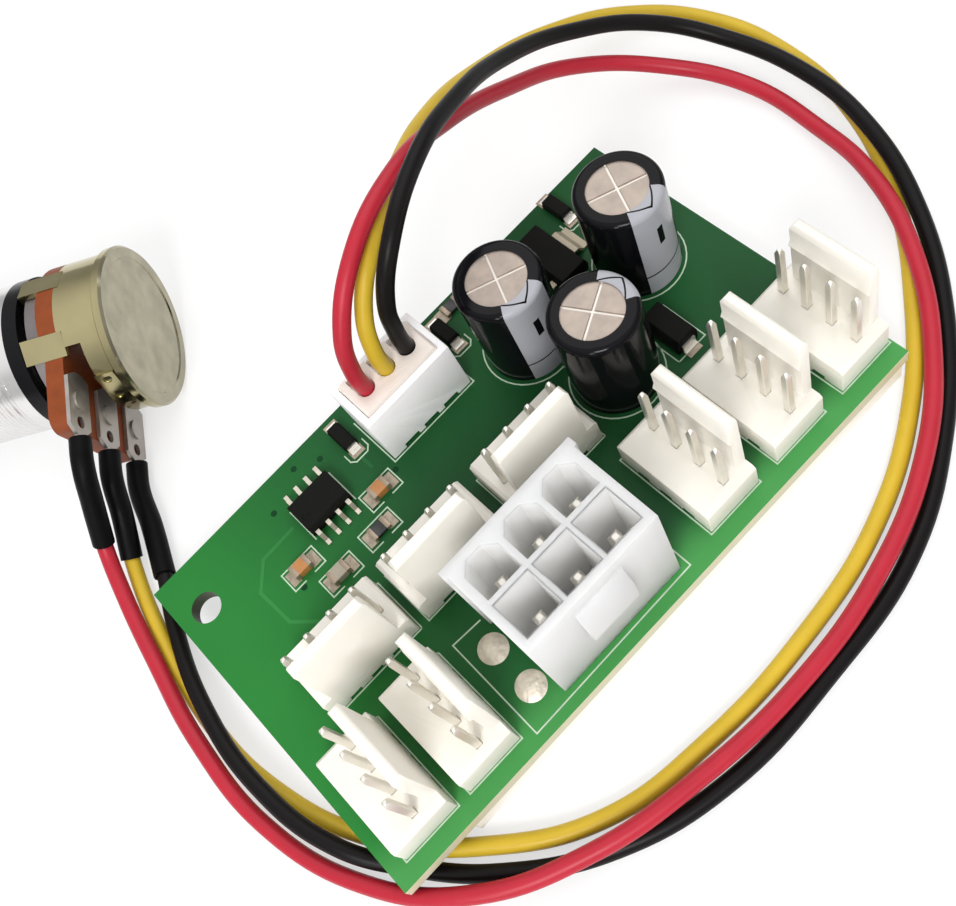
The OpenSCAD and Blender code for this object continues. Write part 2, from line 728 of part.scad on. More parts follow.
// Plug: a block with a cell for each contact, and above it a round entry that opens to the far side
module pot_plug_housing() {
    x = plug_l / 2;
    color("white") translate(on_board(lead_place_shares)) difference() {
        translate([0, plug_w / 2, 0]) rotate([90, 0, 0]) linear_extrude(plug_w) polygon([
            [-x, plug_bottom], [x, plug_bottom], [x, plug_h - plug_edge], [x - plug_edge, plug_h],
            [-x + plug_edge, plug_h], [-x, plug_h - plug_edge]
        ]);
        for (c = row(lead_pins, pin_spacing)) translate([c, 0, 0]) {
            translate([-contact_cell_w / 2, -contact_cell_w / 2, plug_bottom - overrun])
                cube([contact_cell_w, contact_cell_w, contact_top - plug_bottom + overrun]);
            translate([0, 0, contact_top - overrun])
                cylinder(h = plug_entry_h + 2 * overrun, r = wire_entry_r);
            translate([-wire_entry_r, 0, contact_top])
                cube([2 * wire_entry_r, plug_w / 2 + overrun, plug_entry_h + overrun]);
        }
    }
}

// Crimped box contacts inside the plug, each round its header pin
module pot_plug_contacts() {
    bore_top = lead_pin_h + 2 * press_gap;
    color("silver") at_lead_pins() difference() {
        translate([-contact_w / 2, -contact_w / 2, contact_bottom])
            cube([contact_w, contact_w, contact_top - contact_bottom]);
        translate([0, 0, contact_bottom])
            pin_hole(pin_w + 2 * press_gap, bore_top - contact_bottom - overrun);
    }
}

// Capacitor can: rounded shoulder, crimp groove over the seal, and a scored cross on the top
module capacitor_can(number) {
    top = cap_stand + cap_can_h;
    place = at_place(cap_places[number - 1]);
    color("silver") translate(place) rotate(cap_turn_angles[number - 1]) difference() {
        rotate_extrude() difference() {
            union() {
                translate([0, cap_stand]) square([cap_can_r, cap_can_h - cap_shoulder]);
                square_top = cap_can_r - cap_shoulder;
                translate([0, cap_stand]) square([square_top, cap_can_h]);
                translate([square_top, top - cap_shoulder]) circle(r = cap_shoulder);
            }
            translate([0, cap_stand - overrun]) square([cap_seal_r + press_gap, cap_seal_t + overrun]);
            translate([cap_can_r - cap_crimp_in, cap_crimp_z]) polygon([
                [cap_crimp_in + overrun, -overrun], [cap_crimp_in + overrun, cap_crimp_h + overrun],
                [0, cap_crimp_h / 2]
            ]);
        }
        for (turn = [0, 90]) rotate(turn) translate([-cap_window_r, -cap_score_w / 2, top - cap_score_depth])
            cube([2 * cap_window_r, cap_score_w, cap_score_depth + overrun]);
    }
}

// Printed shrink sleeve, rolled over the can's top edge and under its foot
module capacitor_sleeve(number) {
    r = cap_d / 2;
    inner = r - cap_sleeve_t;
    bend = cap_shoulder + cap_sleeve_t;
    foot = cap_stand / 2;
    color("dimgray") translate(at_place(cap_places[number - 1])) rotate_extrude() difference() {
        union() {
            translate([0, foot]) square([r, cap_h - foot - bend]);
            translate([0, cap_h - bend]) square([r - bend, bend]);
            translate([r - bend, cap_h - bend]) circle(r = bend);
        }
        union() {
            translate([-overrun, foot + cap_sleeve_t / 2]) square([inner + overrun, cap_h - bend - foot]);
            translate([-overrun, cap_h - bend]) square([r - bend + overrun, cap_shoulder + press_gap]);
            translate([r - bend, cap_h - bend]) circle(r = cap_shoulder + press_gap);
        }
        translate([-overrun, cap_h / 2]) square([cap_window_r + overrun, cap_h]);
        translate([-overrun, -overrun]) square([cap_lip_r + overrun, cap_h / 2]);
    }
}

module capacitor_seals() {
    color("black") for (i = [0 : len(cap_places) - 1])
        translate(at_place(cap_places[i])) rotate(cap_turn_angles[i]) difference() {
            translate([0, 0, cap_stand]) cylinder(h = cap_seal_t, r = cap_seal_r);
            for (x = row(2, cap_lead_spacing)) translate([x, 0, -overrun])
                cylinder(h = cap_seal_t + 2 * overrun, r = cap_lead_r + press_gap);
        }
}

module capacitor_leads() {
    tail = board_t + tail_l;
    color("silver") at_cap_leads() translate([0, 0, -tail])
        cylinder(h = tail + cap_stand + cap_seal_t, r = cap_lead_r);
}

// Moulded body of a surface-mounted part, bevelled on its two long top edges
module moulded_body(l, w, h, stand, bevel) {
    mid = (h + stand) / 2;
    translate([-l / 2, 0, 0]) rotate([90, 0, 90]) linear_extrude(l) polygon([
        [-w / 2 + bevel / 3, stand], [w / 2 - bevel / 3, stand], [w / 2, mid], [w / 2 - bevel, h],
        [-w / 2 + bevel, h], [-w / 2, mid]
    ]);
}

// Bent lead that leaves a body's side at Y zero and height z, and stands on the board
module gull_lead(w, t, z, reach, foot) {
    rise = z - t / 2;
    knee = reach - foot;
    translate([w / 2, 0, 0]) rotate([90, 0, -90]) linear_extrude(w) polygon([
        [0, rise], [0, rise + t], [-knee + t, rise + t], [-knee - t, t], [-reach, t], [-reach, 0],
        [-knee - t, 0], [-knee, t / 2], [-knee + t, rise]
    ]);
}

module controller_chip() {
    color("dimgray") translate(on_board(controller_shares)) difference() {
        moulded_body(controller_l, controller_w, controller_h, controller_stand, controller_bevel);
        translate([-controller_l / 2 + controller_dimple_in, -controller_w / 2 + controller_dimple_in * 2,
            controller_h - controller_dimple_depth])
            cylinder(h = controller_dimple_depth + overrun, r = controller_dimple_r);
    }
}

module controller_chip_leads() {
    color("silver") translate(on_board(controller_shares)) for (turn = [0, 180]) rotate(turn)
        for (x = row(controller_pins, controller_lead_spacing)) translate([x, -controller_w / 2, 0])
            mirror([0, 1, 0]) gull_lead(controller_lead_w, controller_lead_t, controller_lead_z,
                controller_lead_reach, controller_foot_l);
}

// Chip part: a ceramic block with a plated cap over each end
module chip_part(h) {
    body = chip_l - 2 * chip_end_l;
    end_w = chip_w + 2 * chip_end_t;
    translate([-body / 2, -chip_w / 2, 0]) cube([body, chip_w, h]);
    for (side = [-1, 1]) translate([side * (body + chip_end_l) / 2 - chip_end_l / 2, -end_w / 2, 0])
        cube([chip_end_l, end_w, h + chip_end_t]);
}

module chip_capacitors() {
    color("peru") for (place = chip_capacitor_shares) translate(on_board(place)) chip_part(capacitor_chip_h);
}

module chip_resistors() {
    color("dimgray") for (place = chip_resistor_places) translate(at_place(place)) chip_part(resistor_chip_h);
}

module voltage_regulator() {
    color("dimgray") translate(at_place(regulator_place)) rotate(90)
        moulded_body(regulator_l, regulator_w, regulator_h, regulator_stand, regulator_bevel);
}

module regulator_leads() {
    z = regulator_h / 2;
    color("silver") translate(at_place(regulator_place)) rotate(90) {
        for (x = row(3, regulator_lead_spacing)) translate([x, regulator_w / 2, 0])
            gull_lead(regulator_lead_w, regulator_lead_t, z, regulator_reach, regulator_foot_l);
        translate([0, -regulator_w / 2, 0]) mirror([0, 1, 0])
            gull_lead(regulator_tab_w, regulator_lead_t, z, regulator_reach, regulator_foot_l);
    }
}

module rectifier_diode() {
    color("dimgray") translate(at_place(rectifier_place)) rotate(90)
        moulded_body(rectifier_l, rectifier_w, rectifier_h, diode_stand, regulator_bevel);
}

module signal_diodes() {
    color("dimgray") for (place = signal_diode_places) translate(at_place(place)) rotate(90)
        moulded_body(signal_diode_l, signal_diode_w, signal_diode_h, diode_stand, diode_bevel);
}

// Bent strip at each end of a diode, from half its height down to the board
module diode_ends(l, h, w, reach) {
    for (side = [0, 1]) mirror([0, side, 0]) translate([-w / 2, l / 2, 0]) {
        cube([w, diode_lead_t, h / 2]);
        cube([w, reach, diode_lead_t]);
    }
}

module diode_terminals() {
    color("silver") {
        translate(at_place(rectifier_place))
            diode_ends(rectifier_l, rectifier_h, rectifier_lead_w, diode_lead_reach);
        for (place = signal_diode_places) translate(at_place(place))
            diode_ends(signal_diode_l, signal_diode_h, signal_lead_w, signal_lead_reach);
    }
}

// The potentiometer's own frame: Z runs along its shaft from the back disc, Y towards its terminals
module pot_frame() {
    translate([pot_x, pot_y, pot_d / 2]) rotate(pot_turn_angle) rotate([0, 90, 0]) rotate(pot_roll_angle)
        children();
}

// Ring about the shaft between two radii
module ring(z, h, r, bore) {
    translate([0, 0, z]) difference() {
        cylinder(h = h, r = r);
        translate([0, 0, -overrun]) cylinder(h = h + 2 * overrun, r = bore);
    }
}

// Deep-drawn can: rolled rim, thin wall cut away over the terminals, a flat with two stamped dimples on the
// strip that is left there, and four tabs bent over the plate
module potentiometer_can() {
    notch_w = tongue_w + 2 * tongue_gap;
    tab_h = plate_front - can_depth + can_t;
    stop_z = (can_rim_l + can_opening) / 2;
    color("darkkhaki") pot_frame() {
        difference() {
            rotate_extrude() polygon([
                [0, can_dish], [can_dish_r, can_dish], [can_dish_r + can_dish, 0],
                [pot_d / 2 - can_t / 2, 0], [pot_d / 2, can_t / 2], [pot_d / 2, can_rim_l - can_t / 2],
                [pot_d / 2 - can_rim_step, can_rim_l], [can_r, can_depth], [can_inner_r, can_depth],
                [can_inner_r, can_t + can_dish], [0, can_t + can_dish]
            ]);
            translate([-notch_w / 2, 0, can_opening]) cube([notch_w, pot_d, can_depth]);
        }
        rotate(stop_angle) difference() {
            translate([can_r - stop_inset, -stop_w / 2, can_rim_l])
                cube([stop_inset + stop_proud, stop_w, can_opening - can_rim_l]);
            for (y = stop_dimple_places) translate([can_r + stop_proud - stop_dimple_depth, y, stop_z])
                rotate([0, 90, 0]) cylinder(h = stop_dimple_depth + overrun, r = stop_dimple_r);
        }
        for (a = tab_angles) rotate(a) {
            translate([can_inner_r, -tab_w / 2, can_depth - can_t]) cube([can_t, tab_w, tab_h]);
            translate([can_inner_r + can_t - tab_fold, -tab_w / 2, plate_front])
                cube([tab_fold, tab_w, can_t]);
        }
    }
}

// Laminate wafer: a disc with a tongue that carries the riveted terminals
module potentiometer_wafer() {
    half = tongue_w / 2;
    color("saddlebrown") pot_frame() translate([0, 0, wafer_back]) difference() {
        linear_extrude(wafer_t) difference() {
            union() {
                circle(r = can_r - press_gap);
                translate([-half, 0]) square([tongue_w, tongue_reach - tongue_corner]);
                translate([-half + tongue_corner, 0]) square([tongue_w - 2 * tongue_corner, tongue_reach]);
                for (side = [-1, 1]) translate([side * (half - tongue_corner), tongue_reach - tongue_corner])
                    circle(r = tongue_corner);
            }
            for (a = tab_angles) rotate(a) translate([stack_r, -tab_w / 2 - press_gap])
                square([can_t + overrun, tab_w + 2 * press_gap]);
        }
        translate([0, 0, -overrun]) cylinder(h = wafer_t + 2 * overrun, r = wafer_bore_r);
        for (x = row(3, terminal_spacing)) translate([x, 0, -overrun]) {
            translate([0, rivet_y, 0]) cylinder(h = wafer_t + 2 * overrun, r = rivet_r + press_gap);
            translate([0, terminal_hole_y, 0]) cylinder(h = wafer_t + 2 * overrun, r = terminal_hole_r);
        }
    }
}

// Three terminals with their rivets, on the wafer's back face
module potentiometer_terminals() {
    inner = can_inner_r - terminal_w / 2;
    tip = terminal_reach - terminal_tip_l;
    half = terminal_w / 2;
    neck = terminal_tip_w / 2;
    color("silver") pot_frame() for (x = row(3, terminal_spacing)) translate([x, 0, 0]) {
        translate([0, 0, terminal_back]) linear_extrude(terminal_t) difference() {
            polygon([
                [-neck, inner], [neck, inner], [half, inner + neck], [half, tip - terminal_taper_l],
                [neck, tip], [neck, terminal_reach], [-neck, terminal_reach], [-neck, tip],
                [-half, tip - terminal_taper_l], [-half, inner + neck]
            ]);
            translate([0, terminal_hole_y]) circle(r = terminal_hole_r);
        }
        translate([0, rivet_y, terminal_back - rivet_head_t])
            cylinder(h = rivet_head_t + terminal_t + wafer_t, r = rivet_r);
        translate([0, rivet_y, terminal_back - rivet_head_t]) cylinder(h = rivet_head_t, r = rivet_head_r);
        translate([0, rivet_y, plate_back]) cylinder(h = rivet_head_t, r = rivet_head_r);
    }
}

// Die-cast front plate and bushing in one piece, with its near side cut flat clear of the rivets
module potentiometer_front_plate() {
    flat_y = rivet_y - rivet_head_r - tongue_gap;
    color("darkgray") pot_frame() difference() {
        union() {
            intersection() {
                translate([0, 0, plate_back]) cylinder(h = plate_t, r = stack_r);
                translate([-pot_d, flat_y - 2 * pot_d, plate_back]) cube([2 * pot_d, 2 * pot_d, plate_t]);
            }
            translate([0, 0, plate_front - overrun]) cylinder(h = bushing_l + overrun, d = bushing_d);
        }
        translate([0, 0, plate_back - overrun])
            cylinder(h = plate_t + bushing_l + 2 * overrun, r = shaft_d / 2 + running_gap);
    }
}

// Toothed lock washer, flat under the nut
module potentiometer_lock_washer() {
    color("silver") pot_frame() difference() {
        ring(plate_front, washer_t, washer_r, bushing_d / 2 + press_gap);
        for (i = [1 : washer_teeth]) rotate(360 * i / washer_teeth)
            translate([washer_r - washer_t, -washer_t / 2, plate_front - overrun])
                cube([2 * washer_t, washer_t, washer_t + 2 * overrun]);
    }
}

module potentiometer_nut() {
    back = plate_front + washer_t;
    corner_r = nut_across / sqrt(3);
    color("silver") pot_frame() difference() {
        intersection() {
            translate([0, 0, back]) cylinder(h = nut_t, r = corner_r, $fn = 6);
            translate([0, 0, back]) cylinder(h = nut_t, r1 = corner_r, r2 = corner_r - nut_chamfer);
        }
        translate([0, 0, back - overrun]) cylinder(h = nut_t + 2 * overrun, r = bushing_d / 2 + press_gap);
    }
}

// Shaft with a clip groove in front of the bushing and a slot in its end
module potentiometer_shaft() {
    r = shaft_d / 2;
    color("gainsboro") pot_frame() difference() {
        rotate_extrude() polygon([
            [0, shaft_back], [r, shaft_back], [r, clip_back], [clip_groove_r, clip_back],
            [clip_groove_r, clip_back + clip_t], [r, clip_back + clip_t], [r, shaft_end - shaft_chamfer],
            [r - shaft_chamfer, shaft_end], [0, shaft_end]
        ]);
        translate([-shaft_d, -shaft_slot_w / 2, shaft_end - shaft_slot_l])
            cube([2 * shaft_d, shaft_slot_w, shaft_slot_l + overrun]);
    }
}

// Open clip in the shaft's groove, which keeps the shaft in the bushing
module potentiometer_clip() {
    gap = clip_groove_r * 2 - clip_t;
    color("dimgray") pot_frame() difference() {
        ring(clip_back + press_gap, clip_t - 2 * press_gap, clip_r, clip_groove_r + press_gap);
        translate([0, -gap / 2, clip_back - overrun]) cube([2 * clip_r, gap, clip_t + 2 * overrun]);
    }
}

// Rotor with the stop lug that meets the can at either end of the turn
module potentiometer_rotor() {
    color("dimgray") pot_frame() difference() {
        union() {
            translate([0, 0, rotor_back]) cylinder(h = rotor_t, r = rotor_r);
            translate([-rotor_lug_w / 2, 0, rotor_back]) cube([rotor_lug_w, rotor_r + rotor_lug_l, rotor_t]);
        }
        translate([0, 0, rotor_back - overrun])
            cylinder(h = rotor_t + 2 * overrun, r = shaft_d / 2 + press_gap);
    }
}

// Spring wiper: a flat ring on the rotor with two arms that rise to the wafer's track
module potentiometer_wiper() {
    rise = wafer_back - wiper_touch_gap - rotor_front;
    run = wiper_r - shaft_d / 2;
    color("gold") pot_frame() {
        ring(rotor_front, wiper_t, wiper_r, wiper_ring_r);
        for (a = [200, 340]) rotate(a) translate([wiper_ring_r, -wiper_arm_w / 2, rotor_front])
            translate([0, wiper_arm_w, 0]) rotate([90, 0, 0]) linear_extrude(wiper_arm_w) polygon([
                [0, 0], [wiper_t, 0], [run / 2, rise - wiper_t], [run / 2, rise], [run / 2 - wiper_t, rise],
                [0, wiper_t]
            ]);
    }
}

// Moulded knob core: open skirt over the nut, hub on the shaft, and the rim behind the shell
module knob_core() {
    front = knob_end - shell_face_t - press_gap;
    bore_end = shaft_end + turn_gap;
    bore_r = shaft_d / 2 + press_gap;
    color("black") pot_frame() rotate_extrude() polygon([
        [recess_r, knob_back], [knob_d / 2, knob_back], [knob_d / 2, knob_rim_front],
        [core_r, knob_rim_front], [core_r, front], [0, front], [0, bore_end], [bore_r, bore_end],
        [bore_r, recess_end], [recess_r, recess_end]
    ]);
}

// Bright turned shell over the core, with fine grip rings and an index line on its face
module knob_shell() {
    inner_r = shell_r - shell_t;
    first = knob_rim_front + grip_margin;
    last = knob_end - shell_edge - grip_margin;
    count = floor((last - first) / grip_spacing);
    rings_outline = [for (i = [0 : count - 1], p = [0 : 3])
        [shell_r - (p == 1 || p == 2 ? grip_depth : 0), first + (i + p / 4) * grip_spacing]];
    color("lightgray") pot_frame() difference() {
        rotate_extrude() polygon(concat(
            [[inner_r, knob_rim_front], [shell_r, knob_rim_front]],
            rings_outline,
            [
                [shell_r, knob_end - shell_edge], [shell_r - shell_edge, knob_end], [0, knob_end],
                [0, knob_end - shell_face_t], [inner_r, knob_end - shell_face_t]
            ]
        ));
        translate([-index_w / 2, shell_r / 3, knob_end - index_depth])
            cube([index_w, shell_r, index_depth + overrun]);
    }
}

module wire_red() {
    color("crimson") wire(red_route);
}

module wire_yellow() {
    color("gold") wire(yellow_route);
}

module wire_black() {
    color("black") wire(black_route);
}

module sleeve_red() {
    color("black") shrink_sleeve(red_sleeve_route);
}

module sleeve_yellow() {
    color("black") shrink_sleeve(yellow_sleeve_route);
}

module sleeve_black() {
    color("black") shrink_sleeve(black_sleeve_route);
}

circuit_board();
foam_pad();
solder_joints();
fan_header_housing(1);  // fan_header_1_housing
fan_header_pins(1);  // fan_header_1_pins
fan_header_housing(2);  // fan_header_2_housing
fan_header_pins(2);  // fan_header_2_pins
fan_header_housing(3);  // fan_header_3_housing
fan_header_pins(3);  // fan_header_3_pins
fan_header_housing(4);  // fan_header_4_housing
fan_header_pins(4);  // fan_header_4_pins
fan_header_housing(5);  // fan_header_5_housing
fan_header_pins(5);  // fan_header_5_pins
fan_header_housing(6);  // fan_header_6_housing
fan_header_pins(6);  // fan_header_6_pins
fan_header_housing(7);  // fan_header_7_housing
fan_header_pins(7);  // fan_header_7_pins
fan_header_housing(8);  // fan_header_8_housing
fan_header_pins(8);  // fan_header_8_pins
power_header_housing();
power_header_pins();
pot_header_housing();
pot_header_pins();
pot_plug_housing();
pot_plug_contacts();
capacitor_can(1);  // capacitor_1_can
capacitor_sleeve(1);  // capacitor_1_sleeve
capacitor_can(2);  // capacitor_2_can
capacitor_sleeve(2);  // capacitor_2_sleeve
capacitor_can(3);  // capacitor_3_can
capacitor_sleeve(3);  // capacitor_3_sleeve
capacitor_seals();
capacitor_leads();
controller_chip();
controller_chip_leads();
chip_capacitors();
chip_resistors();
voltage_regulator();
regulator_leads();
rectifier_diode();
signal_diodes();
diode_terminals();
potentiometer_can();
potentiometer_wafer();
potentiometer_terminals();
potentiometer_front_plate();
potentiometer_lock_washer();
potentiometer_nut();
potentiometer_shaft();
potentiometer_clip();
potentiometer_rotor();
potentiometer_wiper();
knob_core();
knob_shell();
wire_red();
wire_yellow();
wire_black();
sleeve_red();
sleeve_yellow();
sleeve_black();
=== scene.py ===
"""Fan speed controller: a green circuit board on a foam pad, with fan headers, a power inlet, three
capacitors, and a knobbed potentiometer on a three-wire lead that loops round the board."""
from math import cos, pi, radians, sin

import bpy
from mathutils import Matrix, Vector


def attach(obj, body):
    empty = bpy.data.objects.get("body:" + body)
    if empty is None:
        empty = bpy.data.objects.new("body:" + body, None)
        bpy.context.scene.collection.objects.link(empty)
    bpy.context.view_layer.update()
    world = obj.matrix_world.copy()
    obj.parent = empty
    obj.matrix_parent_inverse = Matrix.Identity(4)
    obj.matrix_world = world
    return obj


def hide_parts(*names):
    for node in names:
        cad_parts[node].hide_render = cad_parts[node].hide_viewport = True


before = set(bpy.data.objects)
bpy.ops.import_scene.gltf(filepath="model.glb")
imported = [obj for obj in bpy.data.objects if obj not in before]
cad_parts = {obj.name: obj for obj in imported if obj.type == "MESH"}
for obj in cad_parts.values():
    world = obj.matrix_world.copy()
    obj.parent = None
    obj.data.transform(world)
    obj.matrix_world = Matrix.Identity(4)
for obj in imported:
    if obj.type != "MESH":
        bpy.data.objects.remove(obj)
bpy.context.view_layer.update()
mm = 0.001

# Camera: above the board's near side and looking down on it, turned so that the board stands
# diagonally in the picture, as in the photograph.
camera_data = bpy.data.cameras.new("camera")
camera_data.sensor_fit = "HORIZONTAL"
camera_data.sensor_width = 36
camera_data.lens = 44.37
camera_data.clip_start = 0.005
camera = bpy.data.objects.new("camera", camera_data)
camera.location = (-0.00979, -0.04525, 0.09781)
camera.rotation_euler = (radians(23.544), radians(16.321), radians(-43.938))
bpy.context.collection.objects.link(camera)
bpy.context.scene.camera = camera


# Lead: three PVC-insulated stranded wires, 1.6 mm over the insulation. They rise out of the plug, cross
# the board's far edge, lie down beside it, pass under its near corner and come up to the potentiometer.
wire_diameter = 1.6 * mm
red_end = [(-30.6, 26.9, 4.4), (-28.2, 28.4, 8), (-25.9, 30, 11.1)]
yellow_end = [(-30.1, 25.4, 1.5), (-27.6, 28.4, 3.7), (-25.6, 30.5, 6.1)]
black_end = [(-28.8, 21.4, 1.2), (-26.6, 26.6, 1.3), (-25.1, 31, 1.3)]
red_route = [
    (-3, 12.75, 10.9), (-3, 12.8, 15), (-1.6, 13.5, 18.8), (3.5, 15.6, 22.6), (11, 18.8, 22.5),
    (19, 22.8, 17.6), (27, 25.3, 12), (35.5, 25.5, 6.4), (42, 21, 2.7), (45.8, 13, 1.15),
    (45.6, 4, 1.05), (43.4, -4, 2.3), (39, -12, 2.6), (32.6, -19, 2.2), (24, -24.8, 2.2),
    (14, -28.2, 2.1), (3, -29.4, 2.1), (-8, -28.6, 2.4), (-17.5, -26.5, 2.6), (-26.4, -22, 2.4),
    (-33, -14.2, 1.05), (-36.3, -4, 1.05), (-36, 5.5, 2.1), (-34.4, 15, 2.1), (-32.8, 22, 2.4)] + red_end
yellow_route = [
    (-0.5, 12.75, 10.9), (-0.4, 12.9, 15), (1, 14, 18), (5, 16, 20.9), (11.5, 20.7, 19.9),
    (19, 26.4, 15.8), (28, 31, 10), (37.5, 32, 5.3), (45.5, 29, 2.1), (50.2, 21.5, 1), (51, 12, 0.85),
    (49, 3, 0.8), (43.6, -6.4, 0.8), (36, -14.4, 0.8), (27.5, -20.8, 0.8), (17.5, -25.2, 0.8),
    (6.5, -27, 0.8), (-5, -27, 0.8), (-15, -25.1, 0.8), (-23.2, -19.8, 0.8), (-30, -12, 0.8),
    (-33.8, -2, 0.8), (-34.4, 7, 0.8), (-32.8, 17, 0.9)] + yellow_end
black_route = [
    (2, 12.75, 10.9), (2.1, 12.7, 15), (2.8, 12.5, 19), (6, 13, 23.5), (12.5, 16.8, 24),
    (20, 21.2, 20.8), (28, 25, 15.6), (36.5, 26, 10.1), (43.5, 23.4, 6), (47.8, 17.5, 3.2),
    (49, 8.5, 2.7), (47.2, -0.4, 3), (43.3, -9, 1.9), (36, -17.8, 0.95), (27, -24.5, 0.85),
    (17, -29, 0.85), (5.5, -30.4, 0.85), (-6, -30.3, 0.8), (-16, -27.4, 0.85), (-24, -22, 0.95),
    (-29.3, -16, 1), (-32.5, -10.6, 2.4), (-34.2, -2, 2.8), (-33.6, 7, 2.6),
    (-31.1, 16.6, 1.3)] + black_end


def new_material(name, colour, roughness, metallic=0.0, **sockets):
    """A material with its shader, whose constant values stand on the shader's own sockets."""
    material = bpy.data.materials.new(name)
    material.use_nodes = True
    shader = material.node_tree.nodes["Principled BSDF"]
    shader.inputs["Base Color"].default_value = (*colour, 1)
    shader.inputs["Roughness"].default_value = roughness
    shader.inputs["Metallic"].default_value = metallic
    for socket, value in sockets.items():
        shader.inputs[socket.replace("_", " ")].default_value = value
    return material, material.node_tree, shader


def surface_group():
    """Shader node group: cloudy tone, fine grain and its height, for mouldings, insulation and metal."""
    group = bpy.data.node_groups.new("surface_variation", "ShaderNodeTree")
    tint, number = "NodeSocketColor", "NodeSocketFloat"
    for name, kind, value in (
            ("Colour", tint, (0.5, 0.5, 0.5, 1)), ("Cloud Scale", number, 200),
            ("Grain Scale", number, 3000), ("Cloud Amount", number, 0.1), ("Roughness", number, 0.4),
            ("Roughness Spread", number, 0.1)):
        socket = group.interface.new_socket(name, in_out="INPUT", socket_type=kind)
        socket.default_value = value
    for name, kind in (("Colour", tint), ("Roughness", number), ("Height", number)):
        group.interface.new_socket(name, in_out="OUTPUT", socket_type=kind)
    nodes, links = group.nodes, group.links
    inward = nodes.new("NodeGroupInput")
    outward = nodes.new("NodeGroupOutput")
    place = nodes.new("ShaderNodeTexCoord")
    cloud = nodes.new("ShaderNodeTexNoise")
    cloud.inputs["Detail"].default_value = 3
    grain = nodes.new("ShaderNodeTexNoise")
    grain.inputs["Detail"].default_value = 2
    links.new(place.outputs["Object"], cloud.inputs["Vector"])
    links.new(place.outputs["Object"], grain.inputs["Vector"])
    links.new(inward.outputs["Cloud Scale"], cloud.inputs["Scale"])
    links.new(inward.outputs["Grain Scale"], grain.inputs["Scale"])
    centred = nodes.new("ShaderNodeMath")
    centred.operation = "SUBTRACT"
    centred.inputs[1].default_value = 0.5
    links.new(cloud.outputs["Fac"], centred.inputs[0])
    scaled = nodes.new("ShaderNodeMath")
    scaled.operation = "MULTIPLY_ADD"
    links.new(centred.outputs[0], scaled.inputs[0])
    links.new(inward.outputs["Cloud Amount"], scaled.inputs[1])
    scaled.inputs[2].default_value = 1
    tone = nodes.new("ShaderNodeVectorMath")
    tone.operation = "SCALE"
    links.new(inward.outputs["Colour"], tone.inputs[0])
    links.new(scaled.outputs[0], tone.inputs["Scale"])
    links.new(tone.outputs[0], outward.inputs["Colour"])
    rough = nodes.new("ShaderNodeMath")
    rough.operation = "MULTIPLY_ADD"
    links.new(centred.outputs[0], rough.inputs[0])
    links.new(inward.outputs["Roughness Spread"], rough.inputs[1])
    links.new(inward.outputs["Roughness"], rough.inputs[2])
    links.new(rough.outputs[0], outward.inputs["Roughness"])
    links.new(grain.outputs["Fac"], outward.inputs["Height"])
    return group


surface_variation = surface_group()


def vary(tree, shader, colour, roughness, cloud=0.12, cloud_scale=200, grain_scale=3000, spread=0.15,
         bump=0.1, depth=0.02 * mm):
    """Places the surface variation group before a shader, with this finish's own values."""
    group = tree.nodes.new("ShaderNodeGroup")
    group.node_tree = surface_variation
    group.inputs["Colour"].default_value = (*colour, 1)
    group.inputs["Cloud Scale"].default_value = cloud_scale
    group.inputs["Grain Scale"].default_value = grain_scale
    group.inputs["Cloud Amount"].default_value = cloud
    group.inputs["Roughness"].default_value = roughness
    group.inputs["Roughness Spread"].default_value = spread
    bump_node = tree.nodes.new("ShaderNodeBump")
    bump_node.inputs["Strength"].default_value = bump
    bump_node.inputs["Distance"].default_value = depth
    tree.links.new(group.outputs["Height"], bump_node.inputs["Height"])
    tree.links.new(bump_node.outputs["Normal"], shader.inputs["Normal"])
    tree.links.new(group.outputs["Roughness"], shader.inputs["Roughness"])
    tree.links.new(group.outputs["Colour"], shader.inputs["Base Color"])
    return group


def plain_finish(name, colour, roughness, metallic=0.0, sockets=None, **variation):
    """A finish that varies only by its clouds and grain."""
    material, tree, shader = new_material(name, colour, roughness, metallic, **(sockets or {}))
    vary(tree, shader, colour, roughness, **variation)
    return material


def only(piece):
    """Selects one piece alone and makes it the active one."""
    if bpy.context.object and bpy.context.object.mode != "OBJECT":
        bpy.ops.object.mode_set(mode="OBJECT")
    bpy.ops.object.select_all(action="DESELECT")
    piece.select_set(True)
    bpy.context.view_layer.objects.active = piece


def laid_curve(name, route, radius, ends_closed):
    """A round cord on one smooth curve through its route's points, which are in millimetres."""
    curve = bpy.data.curves.new(name, "CURVE")
    curve.dimensions = "3D"
    curve.bevel_depth = radius
    curve.bevel_resolution = 5
    curve.resolution_u = 10
    curve.use_fill_caps = ends_closed
    spline = curve.splines.new("BEZIER")
    spline.bezier_points.add(len(route) - 1)
    for point, place in zip(spline.bezier_points, route):
        point.co = Vector(place) * mm
        point.handle_left_type = "AUTO"
        point.handle_right_type = "AUTO"
    piece = bpy.data.objects.new(name, curve)
    bpy.context.collection.objects.link(piece)
    return piece


